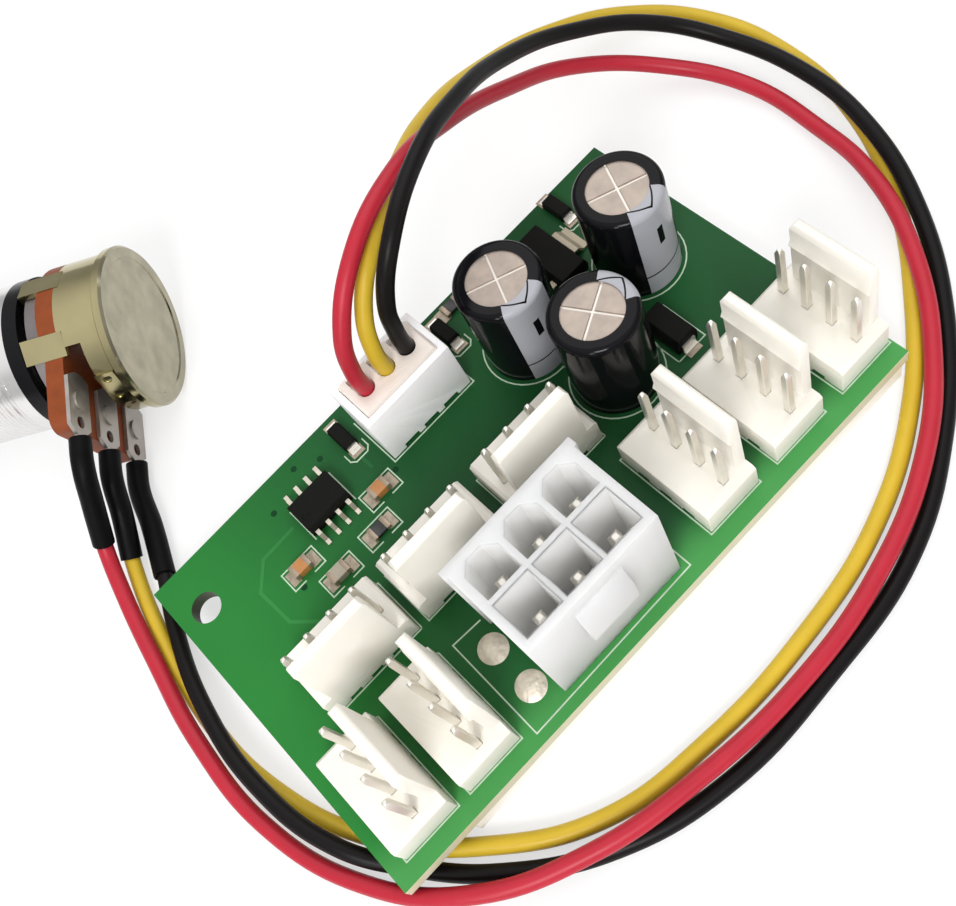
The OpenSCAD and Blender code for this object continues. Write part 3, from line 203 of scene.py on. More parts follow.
# Shrink sleeves: black heat-shrink tube, 2.2 mm over, slipped on each wire and shrunk over its joint
# with the terminal, a little lumpy where the solder lies under it.
sleeve_radius = 1.08 * mm
sleeve_wall = 0.16 * mm
sleeve_tips = {"red": (-24.5, 32, 11.5), "yellow": (-24.1, 32.6, 6.5), "black": (-23.6, 33.2, 1.6)}
sleeve_finish = plain_finish(
    "heat_shrink", (0.003, 0.003, 0.0035), 0.45, sockets={"Specular_IOR_Level": 0.07},
    cloud=0.5, cloud_scale=350, grain_scale=1400, spread=0.3, bump=0.4, depth=0.06 * mm)
wire_colours = {"red": (0.41, 0.016, 0.032), "yellow": (0.56, 0.385, 0.026),
                "black": (0.006, 0.005, 0.005)}
wire_gloss = {"red": 0.25, "yellow": 0.25, "black": 0.12}

for colour, route, end in (("red", red_route, red_end), ("yellow", yellow_route, yellow_end),
                           ("black", black_route, black_end)):
    sleeve = laid_curve("shrink_sleeve_" + colour, end + [sleeve_tips[colour]], sleeve_radius, False)
    only(sleeve)
    bpy.ops.object.convert(target="MESH")
    sleeve = bpy.context.object
    wall = sleeve.modifiers.new("wall", "SOLIDIFY")
    wall.thickness = sleeve_wall
    wall.offset = -1
    wall.use_rim = True
    bpy.ops.object.modifier_apply(modifier="wall")
    bpy.ops.object.shade_smooth_by_angle(angle=radians(40))
    sleeve.data.materials.clear()
    sleeve.data.materials.append(sleeve_finish)
    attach(sleeve, "controller")
    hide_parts("sleeve_" + colour)

    wire = laid_curve("lead_wire_" + colour, route, wire_diameter / 2, True)
    wire.data.materials.append(plain_finish(
        "insulation_" + colour, wire_colours[colour], 0.38,
        sockets={"Specular_IOR_Level": wire_gloss[colour]},
        cloud=0.25, cloud_scale=260, grain_scale=2200, spread=0.25, bump=0.15, depth=0.03 * mm))
    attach(wire, "controller")
    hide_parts("wire_" + colour)


# Circuit board: 1.6 mm glass-epoxy, green solder mask over its copper, cream core at the sawn edge.
# The outlines of its parts are printed in pale ink on the top face.
board_top = 4.6 * mm
board_length, board_width = 60.2 * mm, 36.8 * mm


def board_point(x, y):
    """Point on the board's top, from its near corner, in millimetres."""
    return Vector((x * mm - board_length / 2, y * mm - board_width / 2, board_top))


def reckon(tree, operation, a, b=0.0):
    """Output of one math node, whose two inputs are numbers or other outputs."""
    node = tree.nodes.new("ShaderNodeMath")
    node.operation = operation
    for socket, value in zip(node.inputs, (a, b)):
        if isinstance(value, (int, float)):
            socket.default_value = value
        else:
            tree.links.new(value, socket)
    return node.outputs[0]


def within(tree, value, reach):
    """One where a value lies less than a reach away from zero, on either side."""
    return reckon(tree, "LESS_THAN", reckon(tree, "ABSOLUTE", value), reach)


def fade(tree, value, full, none):
    """One at the place named full, in millimetres, falling smoothly to zero at the place named none."""
    ramp = tree.nodes.new("ShaderNodeMapRange")
    ramp.interpolation_type = "SMOOTHSTEP"
    ramp.inputs["From Min"].default_value = full * mm
    ramp.inputs["From Max"].default_value = none * mm
    ramp.inputs["To Min"].default_value = 1
    ramp.inputs["To Max"].default_value = 0
    tree.links.new(value, ramp.inputs["Value"])
    return ramp.outputs["Result"]


def blend(tree, factor, a, b):
    """Mix of two colours or colour outputs."""
    mix = tree.nodes.new("ShaderNodeMix")
    mix.data_type = "RGBA"
    tree.links.new(factor, mix.inputs["Factor"])
    for socket, value in ((mix.inputs[6], a), (mix.inputs[7], b)):
        if isinstance(value, tuple):
            socket.default_value = (*value, 1)
        else:
            tree.links.new(value, socket)
    return mix.outputs[2]


def place_split(tree, centre=(0, 0, 0), turn=0):
    """Coordinates about a centre and turned about the vertical, each as its own output."""
    place = tree.nodes.new("ShaderNodeTexCoord")
    about = tree.nodes.new("ShaderNodeVectorMath")
    about.operation = "SUBTRACT"
    about.inputs[1].default_value = centre
    turned = tree.nodes.new("ShaderNodeVectorRotate")
    turned.rotation_type = "Z_AXIS"
    turned.inputs["Angle"].default_value = radians(-turn)
    split = tree.nodes.new("ShaderNodeSeparateXYZ")
    tree.links.new(place.outputs["Object"], about.inputs[0])
    tree.links.new(about.outputs[0], turned.inputs["Vector"])
    tree.links.new(turned.outputs["Vector"], split.inputs[0])
    return split.outputs["X"], split.outputs["Y"], split.outputs["Z"]


def mask_finish(name, deep, lit_end_tone, lit_edge_tone):
    """Green mask, painted paler towards the screw hole's end and most at the near edge, as painted light
    where the tall parts shade the board least. The sawn sides show the bare core, and the walls of the
    holes are painted dark as shade."""
    edge_skin = 0.1 * mm
    hole_end, past_chip, near_edge, past_edge = -30, -4, -17.4, -13
    bare_core, shaded_hole_wall = (0.62, 0.60, 0.42), (0.05, 0.06, 0.035)
    material, tree, shader = new_material(name, deep, 0.4, Specular_IOR_Level=0.12)
    group = vary(tree, shader, deep, 0.36, cloud=0.35, cloud_scale=70, grain_scale=5000,
                 spread=0.2, bump=0.1, depth=0.01 * mm)
    x, y = place_split(tree)[:2]
    # Painted light: the mask is blended paler towards the screw hole's end, then towards the near edge.
    lengthways = blend(tree, fade(tree, x, hole_end, past_chip), deep, lit_end_tone)
    painted_light_tone = blend(tree, fade(tree, y, near_edge, past_edge), lengthways, lit_edge_tone)
    tree.links.new(painted_light_tone, group.inputs["Colour"])
    geometry = tree.nodes.new("ShaderNodeNewGeometry")
    facing = tree.nodes.new("ShaderNodeSeparateXYZ")
    tree.links.new(geometry.outputs["Normal"], facing.inputs[0])
    upright = within(tree, facing.outputs["Z"], 0.5)
    from_end = reckon(tree, "SUBTRACT", board_length / 2 - edge_skin, reckon(tree, "ABSOLUTE", x))
    from_side = reckon(tree, "SUBTRACT", board_width / 2 - edge_skin, reckon(tree, "ABSOLUTE", y))
    inside = reckon(tree, "GREATER_THAN", reckon(tree, "MINIMUM", from_end, from_side), 0)
    # Painted shade: the walls of the holes get a dark colour in place of the pale bare core.
    core = blend(tree, inside, bare_core, shaded_hole_wall)
    tree.links.new(blend(tree, upright, group.outputs["Colour"], core), shader.inputs["Base Color"])
    return material


def finish_node(node, finish):
    """Gives a node that stays as it is its finish."""
    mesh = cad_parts[node].data
    mesh.materials.clear()
    mesh.materials.append(finish)


# The two paler tones are painted light, at the screw hole's end and at the near edge.
finish_node("circuit_board", mask_finish("solder_mask", (0.010, 0.072, 0.020), (0.019, 0.17, 0.030),
                                         (0.055, 0.26, 0.065)))


def flat_strips(name, lines, width, height):
    """Joins straight strips along lines of board points into one flat piece. The strips stand at three
    heights by turns, so that no two that cross share a face."""
    stagger = 0.002 * mm
    bpy.ops.object.select_all(action="DESELECT")
    strips = []
    for line in lines:
        for start, end in zip(line, line[1:]):
            a, b = board_point(*start), board_point(*end)
            a.z = b.z = board_top + len(strips) % 3 * stagger
            along = b - a
            bpy.ops.mesh.primitive_cube_add(size=1, location=(a + b) / 2 + Vector((0, 0, height / 2)),
                                            rotation=(0, 0, along.to_2d().angle_signed(Vector((1, 0)))),
                                            scale=(along.length + width * mm, width * mm, height))
            strips.append(bpy.context.object)
    for strip in strips:
        strip.select_set(True)
    bpy.ops.object.join()
    bpy.ops.object.transform_apply(location=True, rotation=True, scale=True)
    piece = bpy.context.object
    piece.name = name
    return piece


def fan_outline(x, y, turned):
    """Printed outline close round the foot of one fan header."""
    wall_side, pin_side, half = 2.62, -3.44, 5.22
    corners = [(wall_side, half), (pin_side, half), (pin_side, -half), (wall_side, -half),
               (wall_side, half)]
    return [(x + (b if turned else a), y + (-a if turned else b)) for a, b in corners]


def chip_outline(x, y):
    """Printed bracket round a chip part, open in the middle of its near side."""
    corners = [(-0.6, -1.1), (-1.9, -1.1), (-1.9, 1.1), (1.9, 1.1), (1.9, -1.1), (0.6, -1.1)]
    return [(x + a, y + b) for a, b in corners]


def diode_outline(x, y):
    """Printed cup round the near terminal of a small diode."""
    corners = [(-1.15, -1.4), (-1.15, -2.3), (-0.7, -2.75), (0.7, -2.75), (1.15, -2.3), (1.15, -1.4)]
    return [(x + a, y + b) for a, b in corners]


def ring_outline(x, y, radius=4.4, steps=40):
    """Printed ring round the foot of a capacitor."""
    turns = [2 * pi * step / steps for step in range(steps + 1)]
    return [(x + radius * cos(turn), y + radius * sin(turn)) for turn in turns]


edge_headers, edge_row = (57.35, 49.2, 41.1, 12.4, 5.1), 6.85
middle_headers, middle_row = (33.3, 21.6, 10.3), 17.3
capacitor_places = [(40.9, 26.8, -91), (43.6, 18.0, 2), (53.4, 24.5, -85)]
capacitor_chips = [(21.6, 27.1), (11.7, 27.2), (13.8, 24.0)]
resistor_chips = [(19.0, 24.3), (38.9, 35.5)]
small_diodes = [(22.7, 33.8), (36.5, 33.8), (52.8, 34.6)]
rectifier_place = (49.5, 16.9)
inlet_outline = [(19.4, 11.3), (16.3, 11.5), (16.1, 1.0), (34.6, 1.2), (34.6, 11.3)]
plug_outline = [(24.4, 34.2), (24.4, 28.1), (34.8, 28.1), (34.8, 34.2)]
controller_sides = [[(14.35, 28.4), (14.35, 32.4)], [(19.45, 28.4), (19.45, 32.4)]]
rectifier_outline = [(47.8, 14.4), (47.8, 19.4), (51.2, 19.4), (51.2, 14.4), (47.8, 14.4)]
print_lines = [fan_outline(x, edge_row, False) for x in edge_headers]
print_lines += [fan_outline(x, middle_row, True) for x in middle_headers]
print_lines += [chip_outline(x, y) for x, y in capacitor_chips + resistor_chips[:1]]
print_lines += [diode_outline(x, y) for x, y in small_diodes]
print_lines += [ring_outline(x, y) for x, y, stripe_turn in capacitor_places]
print_lines += [inlet_outline, plug_outline, *controller_sides, rectifier_outline]
board_print = flat_strips("board_print", print_lines, 0.13, 0.02 * mm)
board_print.data.materials.append(plain_finish("board_print", (0.44, 0.56, 0.42), 0.6, cloud=0.5,
                                               cloud_scale=900))
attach(board_print, "controller")


# Traces and plated holes: copper under the green mask. A trace shows as a slightly paler line, and a
# plated hole as a small dimple in the top face, painted dark as the shade in the hole.
track_lines = [[(13.4, 31), (9.6, 30.9), (7.4, 28.6), (7.6, 24.4), (9.5, 22.3)],
               [(22.6, 29.6), (22.6, 32)]]
tracks = flat_strips("board_tracks", track_lines, 0.35, 0.012 * mm)
# The same painted light as on the mask: paler at the screw hole's end and at the near edge.
tracks.data.materials.append(mask_finish("mask_on_copper", (0.015, 0.10, 0.028), (0.032, 0.21, 0.045),
                                         (0.075, 0.30, 0.09)))
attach(tracks, "controller")

hole_places = ((17.4, 35.5), (19.8, 34.2), (13.2, 33.6), (10.6, 25.8), (23.9, 27.5), (20.1, 26.2))
hole_radius, hole_height, hole_rim, hole_dip = 0.32 * mm, 0.02 * mm, 0.12 * mm, 0.006 * mm
bpy.ops.object.select_all(action="DESELECT")
holes = []
for x, y in hole_places:
    bpy.ops.mesh.primitive_cylinder_add(vertices=20, radius=hole_radius, depth=hole_height,
                                        location=board_point(x, y))
    bpy.ops.object.mode_set(mode="EDIT")
    bpy.ops.mesh.select_mode(type="FACE")
    bpy.ops.mesh.select_all(action="DESELECT")
    bpy.ops.object.mode_set(mode="OBJECT")
    cap_face = max(bpy.context.object.data.polygons, key=lambda face: face.center.z)
    cap_face.select = True
    bpy.ops.object.mode_set(mode="EDIT")
    bpy.ops.mesh.inset(thickness=hole_rim, depth=-hole_dip)
    bpy.ops.object.mode_set(mode="OBJECT")
    holes.append(bpy.context.object)
for hole in holes:
    hole.select_set(True)
bpy.ops.object.join()
bpy.ops.object.transform_apply(location=True, rotation=True, scale=True)
vias = bpy.context.object
vias.name = "board_vias"
# Painted shade: each plated hole is coloured darker than the mask, for the shade down in the hole.
vias.data.materials.append(plain_finish("via_painted_shade", (0.004, 0.040, 0.012), 0.5,
                                        sockets={"Specular_IOR_Level": 0.1}))
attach(vias, "controller")


# Foam pad: pale closed-cell foam with adhesive on one face, cut a little inside the board's edge and
# stuck under it, with its corners cut off where the wires pass.
finish_node("foam_pad", plain_finish("foam", (0.90, 0.89, 0.85), 0.85, cloud=0.08, cloud_scale=500,
                                     grain_scale=1800, spread=0.1, bump=0.6, depth=0.15 * mm))


# Solder joints: tin solder that has run up the pins and leads under the board, and stands domed in two
# round wire pads beside the power inlet.
finish_node("solder_joints", plain_finish("solder", (0.72, 0.65, 0.55), 0.55, metallic=0.7, cloud=0.8,
                                          cloud_scale=1100, grain_scale=1500, spread=0.3, bump=0.9,
                                          depth=0.16 * mm))


# Tinned pads: a copper land under each end of the small surface-mounted parts, with the solder that
# holds the part standing a little proud of the mask.
def pad_pair(x, y, reach, half, lengthways=True):
    """Lines of a part's two pads, which lie one behind the other along the board, or else across it."""
    if lengthways:
        return [[(x + reach * side, y - half), (x + reach * side, y + half)] for side in (-1, 1)]
    return [[(x - half, y + reach * side), (x + half, y + reach * side)] for side in (-1, 1)]


pad_lines = []
for x, y in capacitor_chips + resistor_chips:
    pad_lines += pad_pair(x, y, 1.25, 0.3)
for x, y in small_diodes:
    pad_lines += pad_pair(x, y, 1.95, 0.25, lengthways=False)
pad_lines += pad_pair(*rectifier_place, 2.6, 0.3, lengthways=False)
solder_pads = flat_strips("solder_pads", pad_lines, 0.95, 0.06 * mm)
solder_pads.data.materials.append(plain_finish(
    "pad_tin", (0.36, 0.30, 0.23), 0.4, metallic=0.6, cloud=1.4, cloud_scale=1500, grain_scale=1800,
    spread=0.4, bump=0.6, depth=0.1 * mm))
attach(solder_pads, "controller")


# Fan headers: ivory nylon, moulded with a friction wall on one side, pressed on four tinned square pins
# that are soldered through the board.
def eased_copy(node, ease, segments=2, limit=40, holed_faces=False):
    """Merged copy of a moulded piece with its sharp edges eased, as a mould leaves them. A flat face with
    holes through it keeps the triangles that it came with."""
    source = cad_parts[node]
    piece = source.copy()
    piece.data = source.data.copy()
    piece.name = node + "_moulded"
    bpy.context.collection.objects.link(piece)
    only(piece)
    bpy.ops.object.mode_set(mode="EDIT")
    bpy.ops.mesh.select_all(action="SELECT")
    bpy.ops.mesh.customdata_custom_splitnormals_clear()
    bpy.ops.mesh.remove_doubles(threshold=0.002 * mm)
    if not holed_faces:
        bpy.ops.mesh.dissolve_limited(angle_limit=radians(0.5))
    bpy.ops.object.mode_set(mode="OBJECT")
    bevel = piece.modifiers.new("ease", "BEVEL")
    bevel.width = ease
    bevel.segments = segments
    bevel.limit_method = "ANGLE"
    bevel.angle_limit = radians(limit)
    bevel.harden_normals = False
    bpy.ops.object.modifier_apply(modifier="ease")
    bpy.ops.object.shade_smooth_by_angle(angle=radians(30))
    piece.data.materials.clear()
    return piece


def dress(piece, finish, node, body="controller"):
    """Gives a piece its finish and lets it stand for its node."""
    piece.data.materials.append(finish)
    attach(piece, body)
    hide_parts(node)


ivory_nylon = plain_finish(
    "ivory_nylon", (0.79, 0.76, 0.69), 0.42,
    sockets={"Subsurface_Weight": 0.3, "Subsurface_Radius": (1, 0.9, 0.75), "Subsurface_Scale": 0.5 * mm},
    cloud=0.08, cloud_scale=300, grain_scale=2500, spread=0.15, bump=0.15, depth=0.02 * mm)
tinned = plain_finish("tinned_pins", (0.80, 0.77, 0.71), 0.36, metallic=0.9, cloud=0.12, cloud_scale=400,
                      grain_scale=4000, spread=0.08, bump=0.01, depth=0.005 * mm)
for number in range(1, 9):
    node = f"fan_header_{number}_housing"
    dress(eased_copy(node, 0.07 * mm), ivory_nylon, node)
    node = f"fan_header_{number}_pins"
    dress(eased_copy(node, 0.05 * mm, segments=1), tinned, node)


# Power inlet: natural nylon housing of six cells, so thin-walled that light passes through, on six
# square pins. Three cells have cut corners, and a latch ledge stands out of its near face.
def inlet_finish():
    """Cloudy natural nylon, with the insides of its cells painted paler as painted light, for the light
    that passes their thin walls.
    """
    outside, inside = (0.80, 0.805, 0.815), (0.985, 0.975, 0.955)
    middle = board_point(27.0, 6.4)
    cells_length, cells_width, cells_top = 12.3 * mm, 8.1 * mm, 12.45 * mm
    material, tree, shader = new_material(
        "natural_nylon", outside, 0.5, Transmission_Weight=0.3, IOR=1.25, Subsurface_Weight=1,
        Subsurface_Radius=(1, 1, 1), Subsurface_Scale=3 * mm)
    group = vary(tree, shader, outside, 0.5, cloud=0.04, cloud_scale=200, grain_scale=2500, bump=0.1)
    along, across, height = place_split(tree, middle)
    in_plan = reckon(tree, "MULTIPLY", within(tree, along, cells_length / 2),
                     within(tree, across, cells_width / 2))
    # Painted light: inside the cells the nylon gets a paler colour than outside.
    lit_cell = reckon(tree, "MULTIPLY", in_plan, reckon(tree, "LESS_THAN", height, cells_top))
    tree.links.new(blend(tree, lit_cell, outside, inside), group.inputs["Colour"])
    return material


dress(eased_copy("power_header_housing", 0.1 * mm, holed_faces=True), inlet_finish(),
      "power_header_housing")
dress(eased_copy("power_header_pins", 0.06 * mm, segments=1), tinned, "power_header_pins")


# Potentiometer header and plug: white nylon shroud with three slots at its foot, and in it the plug,
# whose three entries hold the wires crimped in their contacts.
white_nylon = plain_finish(
    "white_nylon", (0.86, 0.85, 0.86), 0.38,
    sockets={"Subsurface_Weight": 0.3, "Subsurface_Radius": (1, 0.9, 0.8), "Subsurface_Scale": 0.5 * mm},
    cloud=0.08, cloud_scale=300, grain_scale=2500, spread=0.15, bump=0.12, depth=0.02 * mm)
plug_nylon = plain_finish(
    "plug_nylon", (0.76, 0.68, 0.62), 0.5, cloud=0.2, cloud_scale=350, grain_scale=2000, spread=0.2,
    bump=0.3, depth=0.04 * mm)
dress(eased_copy("pot_header_housing", 0.1 * mm), white_nylon, "pot_header_housing")
dress(eased_copy("pot_plug_housing", 0.05 * mm), plug_nylon, "pot_plug_housing")
for node in ("pot_header_pins", "pot_plug_contacts"):
    finish_node(node, tinned)


# Capacitors: drawn aluminium cans with a scored top, in a glossy black film shrunk over their edge.
# A grey stripe with minus bars runs down the side of the negative lead.
def can_top_finish(number, x, y, score_turn):
    """Matt drawn aluminium, with a painted highlight along the two scores that cross on the can's top."""
    drawn, score_highlight = (0.40, 0.335, 0.29), (0.72, 0.68, 0.62)
    material, tree, shader = new_material(f"can_aluminium_{number}", drawn, 0.5, 0.7)
    group = vary(tree, shader, drawn, 0.5, cloud=0.9, cloud_scale=650, grain_scale=4000,
                 spread=0.3, bump=0.35, depth=0.03 * mm)
    along, across = place_split(tree, board_point(x, y), score_turn)[:2]
    nearest = reckon(tree, "MINIMUM", reckon(tree, "ABSOLUTE", along), reckon(tree, "ABSOLUTE", across))
    # Painted highlight: the can's top is paler along each score.
    score_glint = fade(tree, nearest, 0.05, 0.13)
    tree.links.new(blend(tree, score_glint, group.outputs["Colour"], score_highlight), shader.inputs["Base Color"])
    return material


def film_finish(number, x, y, stripe_turn):
    """Black film with its stripe in one sector about the capacitor's own axis, an arrow drawn across the
    stripe's top and a painted shadow of the crimp across its foot."""
    stripe_spread = 0.68
    bar_middle, bar_half_height, bar_half_width = 7.5 * mm, 1.15 * mm, 0.33 * mm
    crimp_height, crimp_half = 2.75 * mm, 0.09 * mm
    arrow_tip, arrow_slope, arrow_half, arrow_over = 3.7 * mm, 0.6, 0.1 * mm, 10.8 * mm
    material, tree, shader = new_material(f"capacitor_film_{number}", (0.005, 0.005, 0.006), 0.14,
                                          Specular_IOR_Level=0.12)
    group = vary(tree, shader, (0.004, 0.004, 0.005), 0.13, cloud=0.3, cloud_scale=200,
                 grain_scale=1500, spread=0.1, bump=0.12, depth=0.03 * mm)
    out, across, height = place_split(tree, board_point(x, y), stripe_turn)
    sideways = reckon(tree, "ABSOLUTE", across)
    stripe = reckon(tree, "LESS_THAN", sideways, reckon(tree, "MULTIPLY", out, stripe_spread))
    bar = reckon(tree, "MULTIPLY", reckon(tree, "LESS_THAN", sideways, bar_half_width),
                 within(tree, reckon(tree, "SUBTRACT", height, bar_middle), bar_half_height))
    # Painted shadow: a dark band across the stripe where the crimp runs under the film.
    crimp_shadow = within(tree, reckon(tree, "SUBTRACT", height, crimp_height), crimp_half)
    squares = reckon(tree, "ADD", reckon(tree, "POWER", out, 2), reckon(tree, "POWER", across, 2))
    slope = reckon(tree, "SUBTRACT", arrow_tip, reckon(tree, "MULTIPLY", sideways, arrow_slope))
    off_arrow = reckon(tree, "SUBTRACT", reckon(tree, "SQRT", squares), slope)
    arrow = reckon(tree, "MULTIPLY", within(tree, off_arrow, arrow_half),
                   reckon(tree, "GREATER_THAN", height, arrow_over))
    # The printed bars and arrow, and the painted crimp shadow, all darken the stripe.
    ink_and_shadow = reckon(tree, "MAXIMUM", reckon(tree, "MAXIMUM", bar, crimp_shadow), arrow)
    grey = reckon(tree, "MULTIPLY", stripe, reckon(tree, "SUBTRACT", 1.0, ink_and_shadow))
    mottle = tree.nodes.new("ShaderNodeTexNoise")
    mottle.inputs["Scale"].default_value = 700
    mottle.inputs["Detail"].default_value = 4
    grey_film = blend(tree, mottle.outputs["Fac"], (0.24, 0.25, 0.28), (0.46, 0.46, 0.49))
    tree.links.new(blend(tree, grey, group.outputs["Colour"], grey_film), shader.inputs["Base Color"])
    return material


score_turns = (66, 28, 66)
for number, ((x, y, stripe_turn), score_turn) in enumerate(zip(capacitor_places, score_turns), 1):
    finish_node(f"capacitor_{number}_can", can_top_finish(number, x, y, score_turn))
    finish_node(f"capacitor_{number}_sleeve", film_finish(number, x, y, stripe_turn))
finish_node("capacitor_seals", plain_finish("seal_rubber", (0.02, 0.02, 0.02), 0.7))
finish_node("capacitor_leads", tinned)


# Surface-mounted parts: black epoxy mouldings with tinned leads, tan and black ceramic chips with
# tinned ends, all soldered to the board's top.
black_epoxy = plain_finish("black_epoxy", (0.005, 0.005, 0.004), 0.6, sockets={"Specular_IOR_Level": 0.1},
                           cloud=0.3, cloud_scale=500, grain_scale=4500, spread=0.15, bump=0.35,
                           depth=0.03 * mm)
for node in ("controller_chip", "voltage_regulator", "rectifier_diode", "signal_diodes"):
    dress(eased_copy(node, 0.05 * mm, segments=1, limit=20), black_epoxy, node)
finish_node("controller_chip_leads", plain_finish("lead_tin", (0.62, 0.57, 0.48), 0.35, metallic=0.9,
                                                  cloud=0.6, cloud_scale=1200, bump=0.2))
finish_node("regulator_leads", plain_finish("tab_tin", (0.40, 0.35, 0.26), 0.5, metallic=0.5,
                                            cloud=0.3, cloud_scale=500, bump=0.2))
finish_node("diode_terminals", tinned)


def chip_finish(name, body_colour, places, roughness, last_colour=None):
    """Ceramic in the middle of each chip and tin on its two ends, told apart by place. The last chip may
    have a body of its own colour."""
    body_half, chip_reach = 0.55 * mm, 1.2 * mm
    end_tin, end_metallic = (0.34, 0.27, 0.20), 0.7
    material, tree, shader = new_material(name, body_colour, roughness)
    group = vary(tree, shader, body_colour, roughness, cloud=0.4, cloud_scale=900, grain_scale=5000)
    body = 0.0
    for x, y in places:
        along, across = place_split(tree, board_point(x, y))[:2]
        own = reckon(tree, "MULTIPLY", within(tree, along, body_half), within(tree, across, chip_reach))
        body = reckon(tree, "MAXIMUM", own, body)
    ceramic = group.outputs["Colour"]
    if last_colour:
        ceramic = blend(tree, own, ceramic, last_colour)
    tree.links.new(blend(tree, body, end_tin, ceramic), shader.inputs["Base Color"])
    tree.links.new(reckon(tree, "SUBTRACT", end_metallic, body), shader.inputs["Metallic"])
    return material


tan_ceramic = chip_finish("tan_ceramic", (0.40, 0.17, 0.05), capacitor_chips, 0.4, (0.33, 0.29, 0.22))
black_glaze = chip_finish("black_glaze", (0.02, 0.02, 0.02), resistor_chips, 0.3)
dress(eased_copy("chip_capacitors", 0.06 * mm), tan_ceramic, "chip_capacitors")
dress(eased_copy("chip_resistors", 0.04 * mm), black_glaze, "chip_resistors")


# Potentiometer: yellow-passivated steel can pressed over a brown laminate wafer and a zinc front plate,
# with three riveted terminals, a threaded bushing, its lock washer and its nut.
back_centre = Vector((-12.8, 39.4, 8.25)) * mm
shaft_direction = Vector((-0.809, 0.5878, 0))


def can_finish():
    """Golden zinc on the wall, and a duller scuffed grey on the back disc."""
    golden, dull, worn = (0.43, 0.38, 0.21), (0.18, 0.17, 0.12), (0.50, 0.46, 0.33)
    material, tree, shader = new_material("yellow_zinc", golden, 0.15, 1.0)
    group = vary(tree, shader, golden, 0.15, cloud=0.6, cloud_scale=160, grain_scale=900,
                 spread=0.12, bump=0.25, depth=0.03 * mm)
    place = tree.nodes.new("ShaderNodeTexCoord")
    from_back = tree.nodes.new("ShaderNodeVectorMath")
    from_back.operation = "SUBTRACT"
    from_back.inputs[1].default_value = back_centre
    tree.links.new(place.outputs["Object"], from_back.inputs[0])
    depth = tree.nodes.new("ShaderNodeVectorMath")
    depth.operation = "DOT_PRODUCT"
    depth.inputs[1].default_value = shaft_direction
    tree.links.new(from_back.outputs[0], depth.inputs[0])
    scuff = tree.nodes.new("ShaderNodeTexNoise")
    scuff.inputs["Scale"].default_value = 420
    scuff.inputs["Detail"].default_value = 8
    tree.links.new(place.outputs["Object"], scuff.inputs["Vector"])
    disc = blend(tree, scuff.outputs["Fac"], dull, worn)
    back = fade(tree, depth.outputs["Value"], 0.15, 0.3)
    tree.links.new(blend(tree, back, group.outputs["Colour"], disc), shader.inputs["Base Color"])
    return material


finish_node("potentiometer_can", can_finish())
finish_node("potentiometer_wafer", plain_finish(
    "laminate", (0.21, 0.044, 0.008), 0.5, sockets={"Specular_IOR_Level": 0.25}, cloud=0.6,
    cloud_scale=700, grain_scale=3000, spread=0.2, bump=0.3, depth=0.03 * mm))
finish_node("potentiometer_terminals", plain_finish(
    "dull_tin", (0.40, 0.37, 0.34), 0.45, metallic=0.85, cloud=0.5, cloud_scale=800,
    grain_scale=3000, spread=0.3, bump=0.25, depth=0.03 * mm))
finish_node("potentiometer_front_plate", plain_finish(
    "cast_zinc", (0.20, 0.18, 0.18), 0.5, metallic=0.8, cloud=0.3, cloud_scale=500,
    grain_scale=3000, bump=0.3, depth=0.03 * mm))
nickel = plain_finish("nickel", (0.66, 0.65, 0.62), 0.25, metallic=1.0, cloud=0.2, cloud_scale=500)
finish_node("potentiometer_lock_washer", nickel)
finish_node("potentiometer_nut", nickel)


# Turning set: steel shaft with its clip, the rotor and wiper on it, and the knob, whose black core
# shows as a rim behind a bright turned shell.
steel = plain_finish("turned_steel", (0.60, 0.60, 0.58), 0.3, metallic=1.0, cloud=0.3, cloud_scale=600)
finish_node("potentiometer_shaft", steel)
finish_node("potentiometer_clip", plain_finish("spring_steel", (0.10, 0.10, 0.11), 0.4, metallic=0.9))
finish_node("potentiometer_rotor", plain_finish("rotor_phenolic", (0.03, 0.025, 0.022), 0.5))
finish_node("potentiometer_wiper", plain_finish("spring_bronze", (0.60, 0.40, 0.18), 0.3, metallic=1.0))
finish_node("knob_core", plain_finish(
    "knob_black", (0.004, 0.004, 0.005), 0.22, sockets={"Specular_IOR_Level": 0.15},
    cloud=0.3, cloud_scale=300))
finish_node("knob_shell", plain_finish(
    "bright_aluminium", (0.80, 0.79, 0.78), 0.25, metallic=1.0, cloud=0.15, cloud_scale=400,
    grain_scale=5000, spread=0.15, bump=0.05))


# Floor and studio: a pale plain floor, soft lamps, and a room that is bright overhead and dim around, so
# that gloss and metal have something to show. The camera sees the room white, and so the floor, save
# for the object's shadow.
bpy.ops.object.select_all(action="DESELECT")
bpy.ops.mesh.primitive_plane_add(size=2, location=(0, 0, -0.02 * mm))
floor = bpy.context.object
floor.name = "floor"
floor_material, floor_tree, floor_shader = new_material("floor", (0.88, 0.88, 0.88), 0.9,
                                                        Specular_IOR_Level=0.1)


def seen_white(tree, lit, surface, share, mirrored):
    """Mixes white over what is lit, by one share for the camera and through nylon, and by another in
    metal. A share under one leaves a shadow to show."""
    light_path = tree.nodes.new("ShaderNodeLightPath")
    direct = reckon(tree, "MAXIMUM", light_path.outputs["Is Camera Ray"],
                    light_path.outputs["Is Transmission Ray"])
    in_view = reckon(tree, "MULTIPLY", direct, share)
    in_metal = reckon(tree, "MULTIPLY", light_path.outputs["Is Glossy Ray"], mirrored)
    glow = tree.nodes.new("ShaderNodeEmission")
    mixed = tree.nodes.new("ShaderNodeMixShader")
    tree.links.new(reckon(tree, "MAXIMUM", in_view, in_metal), mixed.inputs[0])
    tree.links.new(lit, mixed.inputs[1])
    tree.links.new(glow.outputs[0], mixed.inputs[2])
    tree.links.new(mixed.outputs[0], surface)


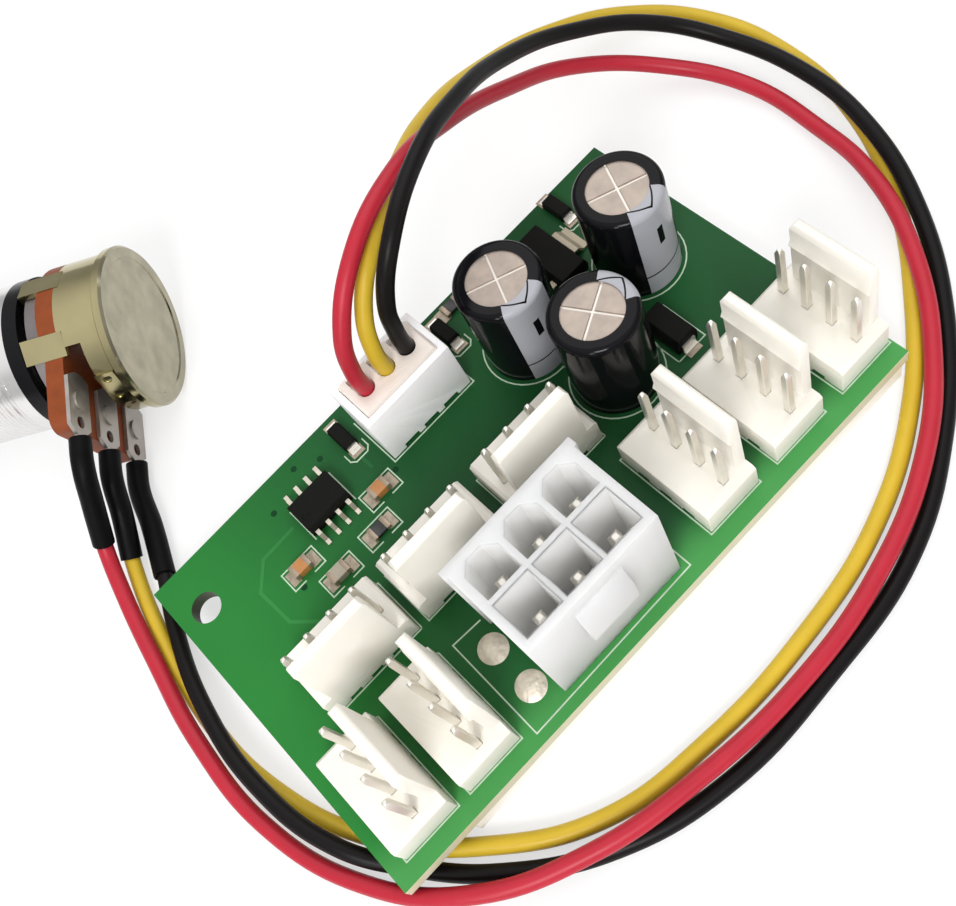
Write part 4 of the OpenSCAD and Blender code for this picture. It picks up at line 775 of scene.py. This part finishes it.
shadow_full, shadow_gone, shadow_share = 110, 330, 0.4
floor_place = floor_tree.nodes.new("ShaderNodeTexCoord")
reach = floor_tree.nodes.new("ShaderNodeVectorMath")
reach.operation = "LENGTH"
floor_tree.links.new(floor_place.outputs["Object"], reach.inputs[0])
near = fade(floor_tree, reach.outputs["Value"], shadow_full, shadow_gone)
white_share = reckon(floor_tree, "SUBTRACT", 1.0, reckon(floor_tree, "MULTIPLY", near, shadow_share))
seen_white(floor_tree, floor_shader.outputs[0], floor_tree.nodes["Material Output"].inputs["Surface"],
           share=white_share, mirrored=0.6)
floor.data.materials.append(floor_material)

world = bpy.data.worlds.new("studio")
bpy.context.scene.world = world
world.use_nodes = True
room = world.node_tree
sky_place = room.nodes.new("ShaderNodeTexCoord")
sky_split = room.nodes.new("ShaderNodeSeparateXYZ")
room.links.new(sky_place.outputs["Generated"], sky_split.inputs[0])
overhead = room.nodes.new("ShaderNodeMapRange")
overhead.interpolation_type = "SMOOTHSTEP"
for socket, value in (("From Min", 0.25), ("From Max", 0.95), ("To Min", 0.35), ("To Max", 1.05)):
    overhead.inputs[socket].default_value = value
room.links.new(sky_split.outputs["Z"], overhead.inputs["Value"])
background = room.nodes["Background"]
background.inputs["Color"].default_value = (1, 1, 1, 1)
room.links.new(overhead.outputs["Result"], background.inputs["Strength"])
seen_white(room, background.outputs[0], room.nodes["World Output"].inputs["Surface"],
           share=1, mirrored=0.12)


def soft_lamp(name, place, size, power):
    """Square lamp that faces the board."""
    lamp = bpy.data.lights.new(name, "AREA")
    lamp.shape = "SQUARE"
    lamp.size = size
    lamp.energy = power
    holder = bpy.data.objects.new(name, lamp)
    holder.location = place
    holder.rotation_euler = Vector(place).to_track_quat("Z", "Y").to_euler()
    bpy.context.collection.objects.link(holder)


soft_lamp("key", (-0.19, -0.23, 0.30), size=0.14, power=1.1)
soft_lamp("window", (-0.33, -0.22, 0.17), size=0.05, power=0.25)
soft_lamp("fill", (0.22, 0.16, 0.34), size=0.42, power=0.62)
bpy.context.scene.view_settings.view_transform = "Standard"
